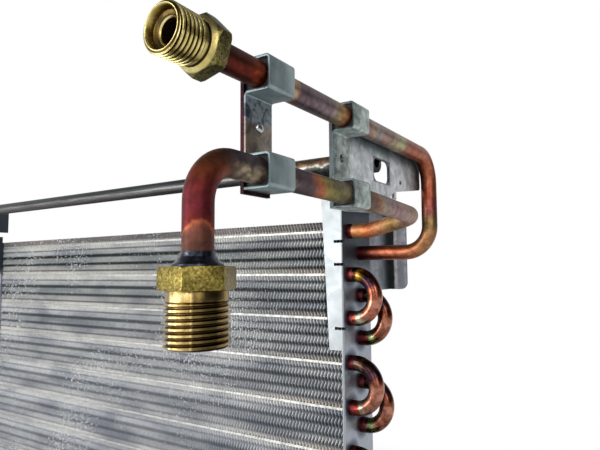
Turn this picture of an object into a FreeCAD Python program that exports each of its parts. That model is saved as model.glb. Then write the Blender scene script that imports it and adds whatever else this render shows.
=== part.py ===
# Condenser coil: a finned core of two staggered rows of copper tubes, with sheet end plates,
# two connecting pipes with brass fittings, the clamps that hold them, and a brace rod on top.
# Frame: the origin is the bottom centre of the finned core. X runs along the tubes, towards
# the end that carries the pipes. The front of the core, where the pipes reach out, faces -Y.

import FreeCAD, Part
import math
import os

V = FreeCAD.Vector

# Core of fins and tubes
tube_od = 9.525
tube_wall = 0.8
tubes_per_row = 12
tube_pitch = 27.7
row_spacing = 14.25
row_stagger = tube_pitch / 2
top_margin = 6.35
core_depth = 29.0
core_height = tubes_per_row * tube_pitch
fin_count = 162
fin_pitch = 2.5
fin_thickness = 0.6
fin_slot_to_tube = 0.7
core_length = fin_count * fin_pitch
tube_clearance = 0.05

# End plates
plate_t = 1.5
plate_front_lip = 1.5
plate_rear_margin = 7.1
plate_rise = 16.5
flange_width_top = 15.5
flange_width_low = 10.5
flange_drop = 81.0
flange_bend_r = 1.2
slit_height = 1.8
slit_length = 6.5
slit_depth = 2.6
slit_drops = (13.0, 27.5, 67.5)

# Tube ends and return bends
stub_out = 3.7

# Connecting pipes
pipe_offset = 49.0
upper_pipe_rise = 37.8
lower_pipe_rise = 3.0
upper_bend_r = 16.0
elbow_y = -189.0
elbow_r = 14.0
elbow_rise = 1.2
dip_y = -87.0
dip_drop = 3.4
corner_y = -18.0
corner_r = 13.0
leg_end_out = 11.0
leg_bend_r = 15.0

# Brass fittings
socket_clearance = 0.05
socket_depth = 6.5
upper_thread_od = 15.875
upper_mouth_y = -204.0
upper_thread_length = 11.0
upper_groove_length = 1.5
upper_groove_d = 13.6
upper_hex_af = 17.5
upper_hex_length = 6.5
upper_hex_turn = 16.0
upper_hex_front_chamfer = 1.5
upper_hex_rear_chamfer = 0.5
upper_counterbore_d = 12.4
upper_counterbore_depth = 2.9
upper_bore_d = 8.0
bore_cone_length = 0.8
upper_mouth_chamfer = 1.0
lower_thread_od = 19.05
lower_thread_length = 13.2
lower_collar_length = 3.4
lower_collar_d = 18.2
lower_hex_af = 19.8
lower_hex_length = 6.8
lower_hex_turn = 36.0
lower_hex_chamfer = 0.7
lower_hex_top_drop = 31.7
lower_counterbore_d = 14.6
lower_counterbore_depth = 5.0
lower_bore_d = 7.6
lower_mouth_chamfer = 1.0
upper_braze_height = 1.2
upper_braze_spread = 0.6
lower_braze_height = 4.4
lower_braze_spread = 3.0

# Pipe clamps
cushion_wall = 0.5
cushion_inset = 1.2
strip_t = 1.0
strip_width = 15.0
strip_fold_r = 1.3
front_clamp_y = -155.0
rear_clamp_y = -94.5
back_plate_t = 1.5
back_plate_over = 1.3
rivet_d = 2.6
rivet_head_d = 4.2
rivet_head_h = 1.2
strip_hole_d = 4.2

# Arm bracket
arm_t = 1.5
arm_rear_y = 5.5
arm_rear_top_drop = 2.1
arm_rear_bottom_drop = 19.8
arm_step_y = -33.0
arm_step_drop = 25.4
arm_slope_y = -62.0
arm_corner_r = 2.2
arm_window_front_y = -59.5
arm_window_length = 19.5
arm_window_drop = 10.2
arm_window_height = 12.2
arm_window_r = 3.8
arm_hole_d = 3.2
arm_hole_y = -25.0
arm_hole_drop = 19.1
strap_height = 8.0
strap_rise = 8.8
strap_front_y = -34.0
strap_bend_y = -31.0
strap_tab_length = 12.0
strap_bend_r = 3.0

# Rear bracket
bracket_t = 1.5
bracket_lap = 6.6
bracket_rear_y = 59.5
bracket_drop = 45.9
bracket_rise = 16.5
bracket_flange = 15.0
bracket_flange_rise = 9.5
bracket_corner_r = 5.0

# Brace rod and the left plate's arm
rod_od = 9.0
rod_wall = 1.0
rod_y = -53.0
rod_rise = 26.6
sleeve_od = 12.0
sleeve_length = 53.0
sleeve_round = 1.4
left_foot_rise = 6.0
left_foot_drop = 16.0
left_foot_y = -45.0
left_foot_rear_y = -15.3
left_neck_y = -25.0
left_arm_rise = 10.6
left_arm_height = 24.0
left_arm_front_y = -62.0
left_arm_rear_y = -10.2

# Sizes and places that follow
tube_r = tube_od / 2
tube_bore_r = tube_r - tube_wall
front_y = -row_spacing / 2
rear_y = row_spacing / 2
core_end = core_length / 2
plate_end = core_end + plate_t
stub_end = plate_end + stub_out
plate_front = -core_depth / 2 - plate_front_lip
plate_rear = core_depth / 2 + plate_rear_margin
pipe_x = plate_end + pipe_offset
upper_z = core_height + upper_pipe_rise
lower_z = core_height + lower_pipe_rise
hat_half = tube_r + cushion_wall
seat_x = pipe_x - hat_half
arm_back_x = seat_x - arm_t
rod_z = core_height + rod_rise
lower_hex_top = lower_z - lower_hex_top_drop
fin_slot_floor = row_spacing / 2 + tube_r + tube_clearance + fin_slot_to_tube


def front_tube_z(index):
    return core_height - top_margin - index * tube_pitch


def rear_tube_z(index):
    return front_tube_z(index) - row_stagger


def lower_run_z(y):
    """The height of the lower pipe's straight run, which falls evenly from the elbow to the dip."""
    return lower_z + elbow_rise * (dip_y - y) / (dip_y - elbow_y)


# Shared shapes
def box(x0, x1, y0, y1, z0, z1):
    return Part.makeBox(x1 - x0, y1 - y0, z1 - z0, V(x0, y0, z0))


def rod_along(start, axis, radius, length):
    return Part.makeCylinder(radius, length, start, axis)


def rounded_path(points, radii):
    """Joins points with straight lines and an arc of the given radius at each inner point."""
    edges = []
    last = points[0]
    for index in range(1, len(points) - 1):
        corner = points[index]
        back = (points[index - 1] - corner).normalize()
        ahead = (points[index + 1] - corner).normalize()
        half = back.getAngle(ahead) / 2
        reach = radii[index - 1] / math.tan(half)
        middle = (back + ahead).normalize()
        centre = corner + middle * (radii[index - 1] / math.sin(half))
        start = corner + back * reach
        end = corner + ahead * reach
        top = centre - middle * radii[index - 1]
        if (start - last).Length > 1e-6:
            edges.append(Part.makeLine(last, start))
        edges.append(Part.Arc(start, top, end).toShape())
        last = end
    if (points[-1] - last).Length > 1e-6:
        edges.append(Part.makeLine(last, points[-1]))
    return Part.Wire(edges)


def swept_disc(path, radius):
    first = path.OrderedEdges[0]
    start = first.valueAt(first.FirstParameter)
    axis = first.tangentAt(first.FirstParameter)
    ring = Part.Wire(Part.makeCircle(radius, start, axis))
    return path.makePipeShell([ring], True, False)


def hollow_tube(path, outer_r, inner_r):
    return swept_disc(path, outer_r).cut(swept_disc(path, inner_r))


def sheet_yz(x0, thickness, outline):
    """A flat sheet across X, cut to an outline of (y, z) points."""
    corners = [V(x0, y, z) for y, z in outline]
    face = Part.Face(Part.makePolygon(corners + corners[:1]))
    return face.extrude(V(thickness, 0, 0))


def round_edges_at(shape, places, axis, radius):
    """Rounds the edges that run along one axis and pass through the given (y, z) places."""
    chosen = []
    for edge in shape.Edges:
        if edge.Curve.TypeId != "Part::GeomLine":
            continue
        if abs(abs(edge.Curve.Direction.dot(axis)) - 1) > 1e-6:
            continue
        mid = edge.CenterOfMass
        if any(abs(mid.y - y) < 1e-4 and abs(mid.z - z) < 1e-4 for y, z in places):
            chosen.append(edge)
    return shape.makeFillet(radius, chosen)


def hexagon_prism(centre, axis, across_flats, length, turn, first_chamfer, last_chamfer):
    """A hexagonal bar, turned about its axis, with a conical chamfer at each end."""
    corner_r = across_flats / math.sqrt(3)
    side = V(1, 0, 0)
    up = axis.cross(side)
    points = []
    for index in range(6):
        angle = math.radians(turn + 30 + 60 * index)
        points.append(centre + side * (corner_r * math.cos(angle)) + up * (corner_r * math.sin(angle)))
    bar = Part.Face(Part.makePolygon(points + points[:1])).extrude(axis * length)
    slope = math.tan(math.radians(30))
    first_rise = first_chamfer * slope
    last_rise = last_chamfer * slope
    top = centre + axis * (length - last_rise)
    low = Part.makeCone(corner_r - first_chamfer, corner_r, first_rise, centre, axis)
    high = Part.makeCone(corner_r, corner_r - last_chamfer, last_rise, top, axis)
    middle = Part.makeCylinder(corner_r, length - first_rise - last_rise, centre + axis * first_rise, axis)
    return bar.common(low.fuse([middle, high]))


# Finned core
def fin_pack():
    """The stack of fins, with the gaps between them open to the depth where the tubes begin."""
    front = -core_depth / 2
    outline = []
    gap = fin_pitch - fin_thickness
    for index in range(fin_count):
        x0 = -core_end + index * fin_pitch
        a = x0 + fin_thickness / 2
        b = a + gap
        outline += [(a, front), (a, -fin_slot_floor), (b, -fin_slot_floor), (b, front)]
    lower = [(-core_end, front)] + outline + [(core_end, front)]
    upper = [(x, -y) for x, y in reversed(lower)]
    corners = [V(x, y, 0) for x, y in lower + upper]
    block = Part.Face(Part.makePolygon(corners + corners[:1])).extrude(V(0, 0, core_height))
    holes = []
    for index in range(tubes_per_row):
        for y, z in ((front_y, front_tube_z(index)), (rear_y, rear_tube_z(index))):
            holes.append(rod_along(V(-core_end - 1, y, z), V(1, 0, 0),
                                   tube_r + tube_clearance, core_length + 2))
    return block.cut(holes)


def tube_holes(x0, thickness):
    holes = []
    for index in range(tubes_per_row):
        for y, z in ((front_y, front_tube_z(index)), (rear_y, rear_tube_z(index))):
            holes.append(rod_along(V(x0 - 1, y, z), V(1, 0, 0), tube_r + tube_clearance, thickness + 2))
    return holes


# End plates
def right_end_plate():
    top = core_height + plate_rise
    low = core_height - flange_drop
    plate = sheet_yz(core_end, plate_t, [(plate_front, 0), (plate_rear, 0), (plate_rear, top), (plate_front, top)])
    flange_points = [
        V(plate_end, plate_front, low),
        V(plate_end, plate_front, top),
        V(plate_end - flange_width_top, plate_front, top),
        V(plate_end - flange_width_low, plate_front, low),
    ]
    flange = Part.Face(Part.makePolygon(flange_points + flange_points[:1])).extrude(V(0, plate_front_lip, 0))
    plate = plate.fuse(flange).removeSplitter()
    bend = []
    for edge in plate.Edges:
        box_now = edge.BoundBox
        upright = box_now.ZLength > flange_drop / 2
        at_corner = abs(box_now.XMax - plate_end) < 1e-4 and abs(box_now.YMin - plate_front) < 1e-4
        if upright and at_corner and box_now.XLength < 1e-4 and box_now.YLength < 1e-4:
            bend.append(edge)
    plate = plate.makeFillet(flange_bend_r, bend)
    slits = []
    for drop in slit_drops:
        z = core_height - drop
        slits.append(box(plate_end - slit_length, plate_end + 1, plate_front - 1,
                         plate_front + slit_depth, z - slit_height / 2, z + slit_height / 2))
    return plate.cut(slits + tube_holes(core_end, plate_t))


def left_end_plate():
    top = core_height + left_foot_rise
    foot = core_height - left_foot_drop
    arm_low = core_height + left_arm_rise
    arm_high = arm_low + left_arm_height
    outline = [
        (plate_rear, 0),
        (plate_rear, core_height),
        (left_foot_rear_y, core_height),
        (left_foot_rear_y, top),
        (left_neck_y, top),
        (left_neck_y, arm_low),
        (left_arm_rear_y, arm_low),
        (left_arm_rear_y, arm_high),
        (left_arm_front_y, arm_high),
        (left_arm_front_y, arm_low),
        (left_foot_y, top),
        (left_foot_y, foot),
        (plate_front, foot - left_foot_drop),
        (plate_front, 0),
    ]
    return sheet_yz(-plate_end, plate_t, outline).cut(tube_holes(-plate_end, plate_t))


# Tubes of the core
def half_turn(x, side, y0, z0, y1, z1):
    """A half-round path from one tube end to the next, bulging towards one side along X."""
    start = V(x, y0, z0)
    end = V(x, y1, z1)
    middle = (start + end) * 0.5
    top = middle + V(side * (end - start).Length / 2, 0, 0)
    return start, Part.Arc(start, top, end).toShape(), end


def hairpin(y, z_upper, z_lower):
    start, arc, end = half_turn(-stub_end, -1, y, z_upper, y, z_lower)
    path = Part.Wire([Part.makeLine(V(stub_end, y, z_upper), start), arc, Part.makeLine(end, V(stub_end, y, z_lower))])
    return hollow_tube(path, tube_r, tube_bore_r)


def return_bend(y0, z0, y1, z1):
    start, arc, end = half_turn(stub_end, 1, y0, z0, y1, z1)
    return hollow_tube(Part.Wire([arc]), tube_r, tube_bore_r)


# Connecting pipes
def upper_pipe_path():
    return rounded_path([
        V(pipe_x, upper_hex_rear_y() - socket_depth, upper_z),
        V(pipe_x, rear_y, upper_z),
        V(pipe_x, rear_y, rear_tube_z(0)),
        V(stub_end, rear_y, rear_tube_z(0)),
    ], [upper_bend_r, upper_bend_r])


def upper_pipe():
    return hollow_tube(upper_pipe_path(), tube_r, tube_bore_r)


def lower_pipe_path():
    return rounded_path([
        V(pipe_x, elbow_y, lower_hex_top - socket_depth),
        V(pipe_x, elbow_y, lower_z + elbow_rise),
        V(pipe_x, dip_y, lower_z),
        V(pipe_x, corner_y, lower_z - dip_drop),
        V(stub_end + leg_end_out, front_y, front_tube_z(0)),
        V(stub_end, front_y, front_tube_z(0)),
    ], [elbow_r, leg_bend_r, corner_r, leg_bend_r])


def lower_pipe():
    return hollow_tube(lower_pipe_path(), tube_r, tube_bore_r)


# Brass fittings
def upper_hex_rear_y():
    return upper_mouth_y + upper_thread_length + upper_groove_length + upper_hex_length


def turned(profile, origin, axis, side):
    """Turns an outline of (distance along the axis, radius) points into a solid."""
    points = [origin + axis * along + side * radius for along, radius in profile]
    face = Part.Face(Part.makePolygon(points + points[:1]))
    return face.revolve(origin, axis, 360)


def upper_fitting():
    origin = V(pipe_x, upper_mouth_y, upper_z)
    axis = V(0, 1, 0)
    thread_r = upper_thread_od / 2
    hex_start = upper_thread_length + upper_groove_length
    total = hex_start + upper_hex_length
    body = turned([
        (0, 0),
        (0, thread_r - upper_mouth_chamfer),
        (upper_mouth_chamfer, thread_r),
        (upper_thread_length, thread_r),
        (upper_thread_length, upper_groove_d / 2),
        (hex_start, upper_groove_d / 2),
        (hex_start, 0),
    ], origin, axis, V(1, 0, 0))
    nut = hexagon_prism(origin + axis * hex_start, axis, upper_hex_af, upper_hex_length,
                        upper_hex_turn, upper_hex_front_chamfer, upper_hex_rear_chamfer)
    hollow = turned([
        (-1, 0),
        (-1, upper_counterbore_d / 2),
        (upper_counterbore_depth, upper_counterbore_d / 2),
        (upper_counterbore_depth + bore_cone_length, upper_bore_d / 2),
        (total - socket_depth, upper_bore_d / 2),
        (total - socket_depth, tube_r + socket_clearance),
        (total + 1, tube_r + socket_clearance),
        (total + 1, 0),
    ], origin, axis, V(1, 0, 0))
    return body.fuse(nut).cut(hollow)


def lower_fitting():
    origin = V(pipe_x, elbow_y, lower_hex_top)
    axis = V(0, 0, -1)
    thread_r = lower_thread_od / 2
    collar_end = lower_hex_length + lower_collar_length
    total = collar_end + lower_thread_length
    body = turned([
        (lower_hex_length, 0),
        (lower_hex_length, lower_collar_d / 2),
        (collar_end, lower_collar_d / 2),
        (collar_end, thread_r),
        (total - lower_mouth_chamfer, thread_r),
        (total, thread_r - lower_mouth_chamfer),
        (total, 0),
    ], origin, axis, V(1, 0, 0))
    nut = hexagon_prism(origin, axis, lower_hex_af, lower_hex_length,
                        lower_hex_turn, lower_hex_chamfer, lower_hex_chamfer)
    hollow = turned([
        (-1, 0),
        (-1, tube_r + socket_clearance),
        (socket_depth, tube_r + socket_clearance),
        (socket_depth, lower_bore_d / 2),
        (total - lower_counterbore_depth - bore_cone_length, lower_bore_d / 2),
        (total - lower_counterbore_depth, lower_counterbore_d / 2),
        (total + 1, lower_counterbore_d / 2),
        (total + 1, 0),
    ], origin, axis, V(1, 0, 0))
    return body.fuse(nut).cut(hollow)


def braze_ring(origin, axis, height, spread):
    """The fillet of filler metal that closes the joint between a pipe and its fitting."""
    return turned([
        (0, tube_r),
        (0, tube_r + spread),
        (height * 0.14, tube_r + spread * 0.93),
        (height * 0.36, tube_r + spread * 0.52),
        (height * 0.66, tube_r + spread * 0.24),
        (height, tube_r + 0.15),
        (height, tube_r),
    ], origin, axis, V(1, 0, 0))


# Pipe clamps
def clamp_strip(y_centre):
    """One strip folded into two square hats, one over each pipe, with a flat web between."""
    mid_reach = hat_half + strip_t / 2
    outer_x = pipe_x + mid_reach
    web_x = seat_x + strip_t / 2
    y0 = y_centre - strip_width / 2
    low_z = lower_run_z(y_centre)
    path = rounded_path([
        V(seat_x, y0, upper_z + mid_reach),
        V(outer_x, y0, upper_z + mid_reach),
        V(outer_x, y0, upper_z - mid_reach),
        V(web_x, y0, upper_z - mid_reach),
        V(web_x, y0, low_z + mid_reach),
        V(outer_x, y0, low_z + mid_reach),
        V(outer_x, y0, low_z - mid_reach),
        V(seat_x, y0, low_z - mid_reach),
    ], [strip_fold_r] * 6)
    half = strip_t / 2
    z = upper_z + mid_reach
    section = Part.makePolygon([
        V(seat_x, y0, z - half),
        V(seat_x, y0 + strip_width, z - half),
        V(seat_x, y0 + strip_width, z + half),
        V(seat_x, y0, z + half),
        V(seat_x, y0, z - half),
    ])
    return path.makePipeShell([section], True, False)


def clamp_hole_z(y_centre):
    return (upper_z + lower_run_z(y_centre)) / 2


def front_clamp_strip():
    hole = rod_along(V(seat_x - 1, front_clamp_y, clamp_hole_z(front_clamp_y)), V(1, 0, 0), rivet_d / 2, strip_t + 2)
    return clamp_strip(front_clamp_y).cut(hole)


def rear_clamp_strip():
    hole = rod_along(V(seat_x - 1, rear_clamp_y, clamp_hole_z(rear_clamp_y)), V(1, 0, 0), strip_hole_d / 2, strip_t + 2)
    return clamp_strip(rear_clamp_y).cut(hole)


def front_clamp_back_plate():
    reach = hat_half + strip_t + back_plate_over
    plate = box(seat_x - back_plate_t, seat_x,
                front_clamp_y - strip_width / 2, front_clamp_y + strip_width / 2,
                lower_run_z(front_clamp_y) - reach, upper_z + reach)
    hole = rod_along(V(seat_x - back_plate_t - 1, front_clamp_y, clamp_hole_z(front_clamp_y)), V(1, 0, 0),
                     rivet_d / 2, back_plate_t + 2)
    return plate.cut(hole)


def clamp_rivet():
    z = clamp_hole_z(front_clamp_y)
    grip = back_plate_t + strip_t
    back = V(seat_x - back_plate_t, front_clamp_y, z)
    return turned([
        (-rivet_head_h * 0.6, 0),
        (-rivet_head_h * 0.6, rivet_head_d * 0.36),
        (0, rivet_head_d * 0.45),
        (0, rivet_d / 2),
        (grip, rivet_d / 2),
        (grip, rivet_head_d / 2),
        (grip + rivet_head_h * 0.55, rivet_head_d * 0.42),
        (grip + rivet_head_h, rivet_head_d * 0.16),
        (grip + rivet_head_h, 0),
    ], back, V(1, 0, 0), V(0, 1, 0))


def cushion(y_centre, z_centre, pipe_path):
    """The rubber pad that fills a hat around its pipe."""
    length = strip_width - 2 * cushion_inset
    y0 = y_centre - length / 2
    pad = box(pipe_x - hat_half, pipe_x + hat_half, y0, y0 + length, z_centre - hat_half, z_centre + hat_half)
    corner = strip_fold_r - strip_t / 2
    outer = [edge for edge in pad.Edges
             if edge.BoundBox.YLength > length / 2 and edge.BoundBox.XMin > pipe_x]
    pad = pad.makeFillet(corner, outer)
    return pad.cut(swept_disc(pipe_path, tube_r))


# Brackets
def arm_bracket():
    front = rear_clamp_y - strip_width / 2
    reach = hat_half + strip_t
    low = lower_run_z(rear_clamp_y) - reach
    outline = [
        (front, low),
        (rear_clamp_y + strip_width / 2, low),
        (arm_slope_y, low + arm_t),
        (arm_step_y, upper_z - arm_step_drop),
        (arm_rear_y, upper_z - arm_rear_bottom_drop),
        (arm_rear_y, upper_z - arm_rear_top_drop),
        (rear_clamp_y + strip_width / 2, upper_z + reach),
        (front, upper_z + reach),
    ]
    plate = sheet_yz(arm_back_x, arm_t, outline)
    plate = round_edges_at(plate, [outline[4]], V(1, 0, 0), arm_corner_r)
    window_top = upper_z - arm_window_drop
    window = box(arm_back_x - 1, seat_x + 1, arm_window_front_y, arm_window_front_y + arm_window_length,
                 window_top - arm_window_height, window_top)
    window_edges = [edge for edge in window.Edges if edge.BoundBox.XLength > arm_t]
    window = window.makeFillet(arm_window_r, window_edges)
    small_hole = rod_along(V(arm_back_x - 1, arm_hole_y, upper_z - arm_hole_drop), V(1, 0, 0),
                           arm_hole_d / 2, arm_t + 2)
    strip_hole = rod_along(V(arm_back_x - 1, rear_clamp_y, clamp_hole_z(rear_clamp_y)), V(1, 0, 0),
                           strip_hole_d / 2, arm_t + 2)
    return plate.fuse(arm_strap()).removeSplitter().cut([window, small_hole, strip_hole])


def arm_strap():
    """The bent strap that ties the arm bracket to the rear bracket's web."""
    x_arm = arm_back_x + arm_t / 2
    x_web = core_end + arm_t / 2
    z0 = core_height + strap_rise
    tab_rear = bracket_rear_y - bracket_t - 0.5
    path = rounded_path([
        V(x_arm, strap_front_y, z0),
        V(x_arm, strap_bend_y, z0),
        V(x_web, tab_rear - strap_tab_length, z0),
        V(x_web, tab_rear, z0),
    ], [strap_bend_r, strap_bend_r])
    half = arm_t / 2
    section = Part.makePolygon([
        V(x_arm - half, strap_front_y, z0),
        V(x_arm + half, strap_front_y, z0),
        V(x_arm + half, strap_front_y, z0 + strap_height),
        V(x_arm - half, strap_front_y, z0 + strap_height),
        V(x_arm - half, strap_front_y, z0),
    ])
    return path.makePipeShell([section], True, False)


def rear_bracket():
    low = core_height - bracket_drop
    top = core_height + bracket_rise
    x_in = core_end - bracket_t
    web = box(x_in, core_end, plate_rear - bracket_lap, bracket_rear_y, low, top)
    flange_top = core_height + bracket_flange_rise
    flange = box(x_in, x_in + bracket_flange, bracket_rear_y - bracket_t, bracket_rear_y, low, flange_top)
    low_corner = [edge for edge in flange.Edges
                  if edge.BoundBox.YLength > bracket_t / 2 and edge.BoundBox.XMin > core_end
                  and edge.BoundBox.ZMax < low + 1]
    flange = flange.makeFillet(bracket_corner_r, low_corner)
    return web.fuse(flange).removeSplitter()


# Brace rod
def brace_rod():
    x0 = -core_end
    x1 = arm_back_x
    start = V(x0, rod_y, rod_z)
    outer = rod_along(start, V(1, 0, 0), rod_od / 2, x1 - x0)
    inner = rod_along(start, V(1, 0, 0), rod_od / 2 - rod_wall, x1 - x0)
    return outer.cut(inner)


def rod_sleeve():
    start = V(arm_back_x - sleeve_length, rod_y, rod_z)
    outer = rod_along(start, V(1, 0, 0), sleeve_od / 2, sleeve_length)
    rim = [edge for edge in outer.Edges if edge.BoundBox.XMax < arm_back_x - sleeve_length / 2]
    outer = outer.makeFillet(sleeve_round, rim)
    return outer.cut(rod_along(start - V(1, 0, 0), V(1, 0, 0), rod_od / 2, sleeve_length + 2))


def all_pieces():
    pieces = {
        "fin_pack": fin_pack(),
        "right_end_plate": right_end_plate(),
        "left_end_plate": left_end_plate(),
        "rear_bracket": rear_bracket(),
        "arm_bracket": arm_bracket(),
        "upper_pipe": upper_pipe(),
        "lower_pipe": lower_pipe(),
        "upper_fitting": upper_fitting(),
        "lower_fitting": lower_fitting(),
        "upper_braze_ring": braze_ring(V(pipe_x, upper_hex_rear_y(), upper_z), V(0, 1, 0),
                                       upper_braze_height, upper_braze_spread),
        "lower_braze_ring": braze_ring(V(pipe_x, elbow_y, lower_hex_top), V(0, 0, 1),
                                       lower_braze_height, lower_braze_spread),
        "front_clamp_strip": front_clamp_strip(),
        "front_clamp_back_plate": front_clamp_back_plate(),
        "clamp_rivet": clamp_rivet(),
        "rear_clamp_strip": rear_clamp_strip(),
        "upper_front_cushion": cushion(front_clamp_y, upper_z, upper_pipe_path()),
        "lower_front_cushion": cushion(front_clamp_y, lower_run_z(front_clamp_y), lower_pipe_path()),
        "upper_rear_cushion": cushion(rear_clamp_y, upper_z, upper_pipe_path()),
        "lower_rear_cushion": cushion(rear_clamp_y, lower_run_z(rear_clamp_y), lower_pipe_path()),
        "brace_rod": brace_rod(),
        "rod_sleeve": rod_sleeve(),
    }
    for pair in range(tubes_per_row // 2):
        first = 2 * pair
        pieces[f"front_hairpin_{pair + 1}"] = hairpin(front_y, front_tube_z(first), front_tube_z(first + 1))
        pieces[f"rear_hairpin_{pair + 1}"] = hairpin(rear_y, rear_tube_z(first), rear_tube_z(first + 1))
    for pair in range(tubes_per_row // 2 - 1):
        upper = 2 * pair + 1
        pieces[f"front_return_bend_{pair + 1}"] = return_bend(
            front_y, front_tube_z(upper), front_y, front_tube_z(upper + 1))
        pieces[f"rear_return_bend_{pair + 1}"] = return_bend(
            rear_y, rear_tube_z(upper), rear_y, rear_tube_z(upper + 1))
    last = tubes_per_row - 1
    pieces["crossover_bend"] = return_bend(front_y, front_tube_z(last), rear_y, rear_tube_z(last))
    return pieces


os.makedirs("parts", exist_ok=True)
for name, shape in all_pieces().items():
    shape.exportStep(f"parts/{name}.step")
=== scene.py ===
# Looks of the condenser coil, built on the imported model. Lengths are in metres.
# Object frame: the origin is the bottom centre of the finned core, X runs along the tubes
# towards the end with the connecting pipes, and the pipes reach out to -Y.

import math

import bmesh
import bpy
from mathutils import Matrix, Vector

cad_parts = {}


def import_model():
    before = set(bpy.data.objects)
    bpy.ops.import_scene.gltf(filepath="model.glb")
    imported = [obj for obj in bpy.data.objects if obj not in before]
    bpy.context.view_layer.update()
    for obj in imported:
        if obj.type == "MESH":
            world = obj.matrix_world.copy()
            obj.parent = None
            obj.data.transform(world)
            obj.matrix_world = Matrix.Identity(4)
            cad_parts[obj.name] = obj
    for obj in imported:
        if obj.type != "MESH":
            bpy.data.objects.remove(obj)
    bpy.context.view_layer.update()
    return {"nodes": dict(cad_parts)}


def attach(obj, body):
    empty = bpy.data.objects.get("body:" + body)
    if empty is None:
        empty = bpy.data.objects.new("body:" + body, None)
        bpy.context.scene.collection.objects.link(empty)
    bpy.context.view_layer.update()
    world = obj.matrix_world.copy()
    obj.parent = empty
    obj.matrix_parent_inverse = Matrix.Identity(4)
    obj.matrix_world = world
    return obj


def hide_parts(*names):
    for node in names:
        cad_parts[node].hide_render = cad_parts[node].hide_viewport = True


MM = 0.001

# Core, as in the solids
FIN_COUNT = 162
FIN_PITCH = 2.5 * MM
CORE_DEPTH = 29.0 * MM
TUBES_PER_ROW = 12
TUBE_PITCH = 27.7 * MM
TUBE_R = 4.7625 * MM
ROW_SPACING = 14.25 * MM
TOP_MARGIN = 6.35 * MM
PLATE_T = 1.5 * MM
PLATE_FRONT_LIP = 1.5 * MM
STUB_OUT = 3.7 * MM

# Fins and collars, finer than in the solids. Real fin stock is near 0.12 mm, and is drawn thicker here
FIN_THICKNESS = 0.3 * MM
FIN_FOOT = 0.1 * MM
RIPPLES_PER_TUBE = 4
RIPPLE_DEPTH = 1.4 * MM
COLLAR_R = 5.1 * MM
COLLAR_ROOT_R = 5.6 * MM
COLLAR_WAISTS = (0.6 * MM, 2.1 * MM)
# Pale bars along the front tubes, which paint the tubes' bright highlight line
HIGHLIGHT_BAR_SETBACK = 0.2 * MM
HIGHLIGHT_BAR_DEPTH = 1.4 * MM
HIGHLIGHT_BAR_HEIGHT = 1.7 * MM
HIGHLIGHT_BAR_END_GAP = 1.0 * MM

# Fins to the right of, above and in front of these places lie behind the end plate's flange, and are painted
# near black as its shadow, which shows through its slits
FLANGE_SHADOW_X = 189.5 * MM
FLANGE_SHADOW_Z = 264.5 * MM
FLANGE_SHADOW_Y = -11.5 * MM

# Connecting pipes
PIPE_OFFSET = 49.0 * MM
UPPER_PIPE_RISE = 37.8 * MM
LOWER_PIPE_RISE = 3.0 * MM
UPPER_MOUTH_Y = -204.0 * MM
ELBOW_Y = -189.0 * MM
ELBOW_RISE = 1.2 * MM
DIP_Y = -87.0 * MM
LOWER_HEX_DROP = 31.7 * MM

# Threads, with the spacing that the photograph shows
UPPER_THREAD_PITCH = 1.583 * MM
UPPER_CREST_R = 7.9375 * MM
LOWER_THREAD_PITCH = 1.708 * MM
LOWER_CREST_R = 9.525 * MM

# Clamps
CUSHION_WALL = 0.5 * MM
FRONT_CLAMP_Y = -155.0 * MM
REAR_CLAMP_Y = -94.5 * MM
STRIP_WIDTH = 15.0 * MM
STRIP_T = 1.0 * MM
STRIP_FOLD_R = 1.3 * MM
STRIP_HOLE_R = 2.1 * MM
BACK_PLATE_T = 1.5 * MM
RIVET_R = 1.3 * MM
RIVET_HEAD_R = 2.1 * MM
RIVET_HEAD_RISE = 1.2 * MM
RIVET_TAIL_R = 1.9 * MM
RIVET_TAIL_RISE = 0.72 * MM
HOLE_SHADE_R = 3.2 * MM

# Window of the arm, and the brace rod
WINDOW_FRONT_Y = -59.5 * MM
WINDOW_LENGTH = 19.5 * MM
WINDOW_DROP = 10.2 * MM
WINDOW_HEIGHT = 12.2 * MM
ROD_RISE = 26.6 * MM
ROD_R = 4.5 * MM

# The photograph's view
CAMERA_PLACE = (363.4 * MM, -298.5 * MM, 302.9 * MM)
CAMERA_HEADING = 31.41
CAMERA_TILT = 4.61
CAMERA_ROLL = -0.63
SENSOR_WIDTH = 36
LENS = 30.954
SHIFT = (-0.041, 0.0018)
CLIP_START = 10 * MM

# Studio: the floor's shade ends between two distances, and a dark card stands to the right
FLOOR_SIZE = 12
SHADE_NEAR = 280 * MM
SHADE_FAR = 550 * MM
CARD_DIRECTION = (0.94, 0.34, 0.0)

# Lamps: name, place, aim, width and height, and watts
LAMPS = (
    ("key_left", (-0.6, -1.3, 0.75), (0.1, 0, 0.25), (0.5, 1.0), 6.5),
    ("key_right", (0.5, -1.57, 0.75), (0.1, 0, 0.25), (0.5, 1.0), 6.5),
    ("side", (1.55, -1.15, 0.85), (0.1, 0, 0.25), (0.4, 1.0), 5),
    ("fill", (-0.7, -1.2, 0.25), (-0.1, 0, 0.15), (0.8, 0.4), 6),
)

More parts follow.
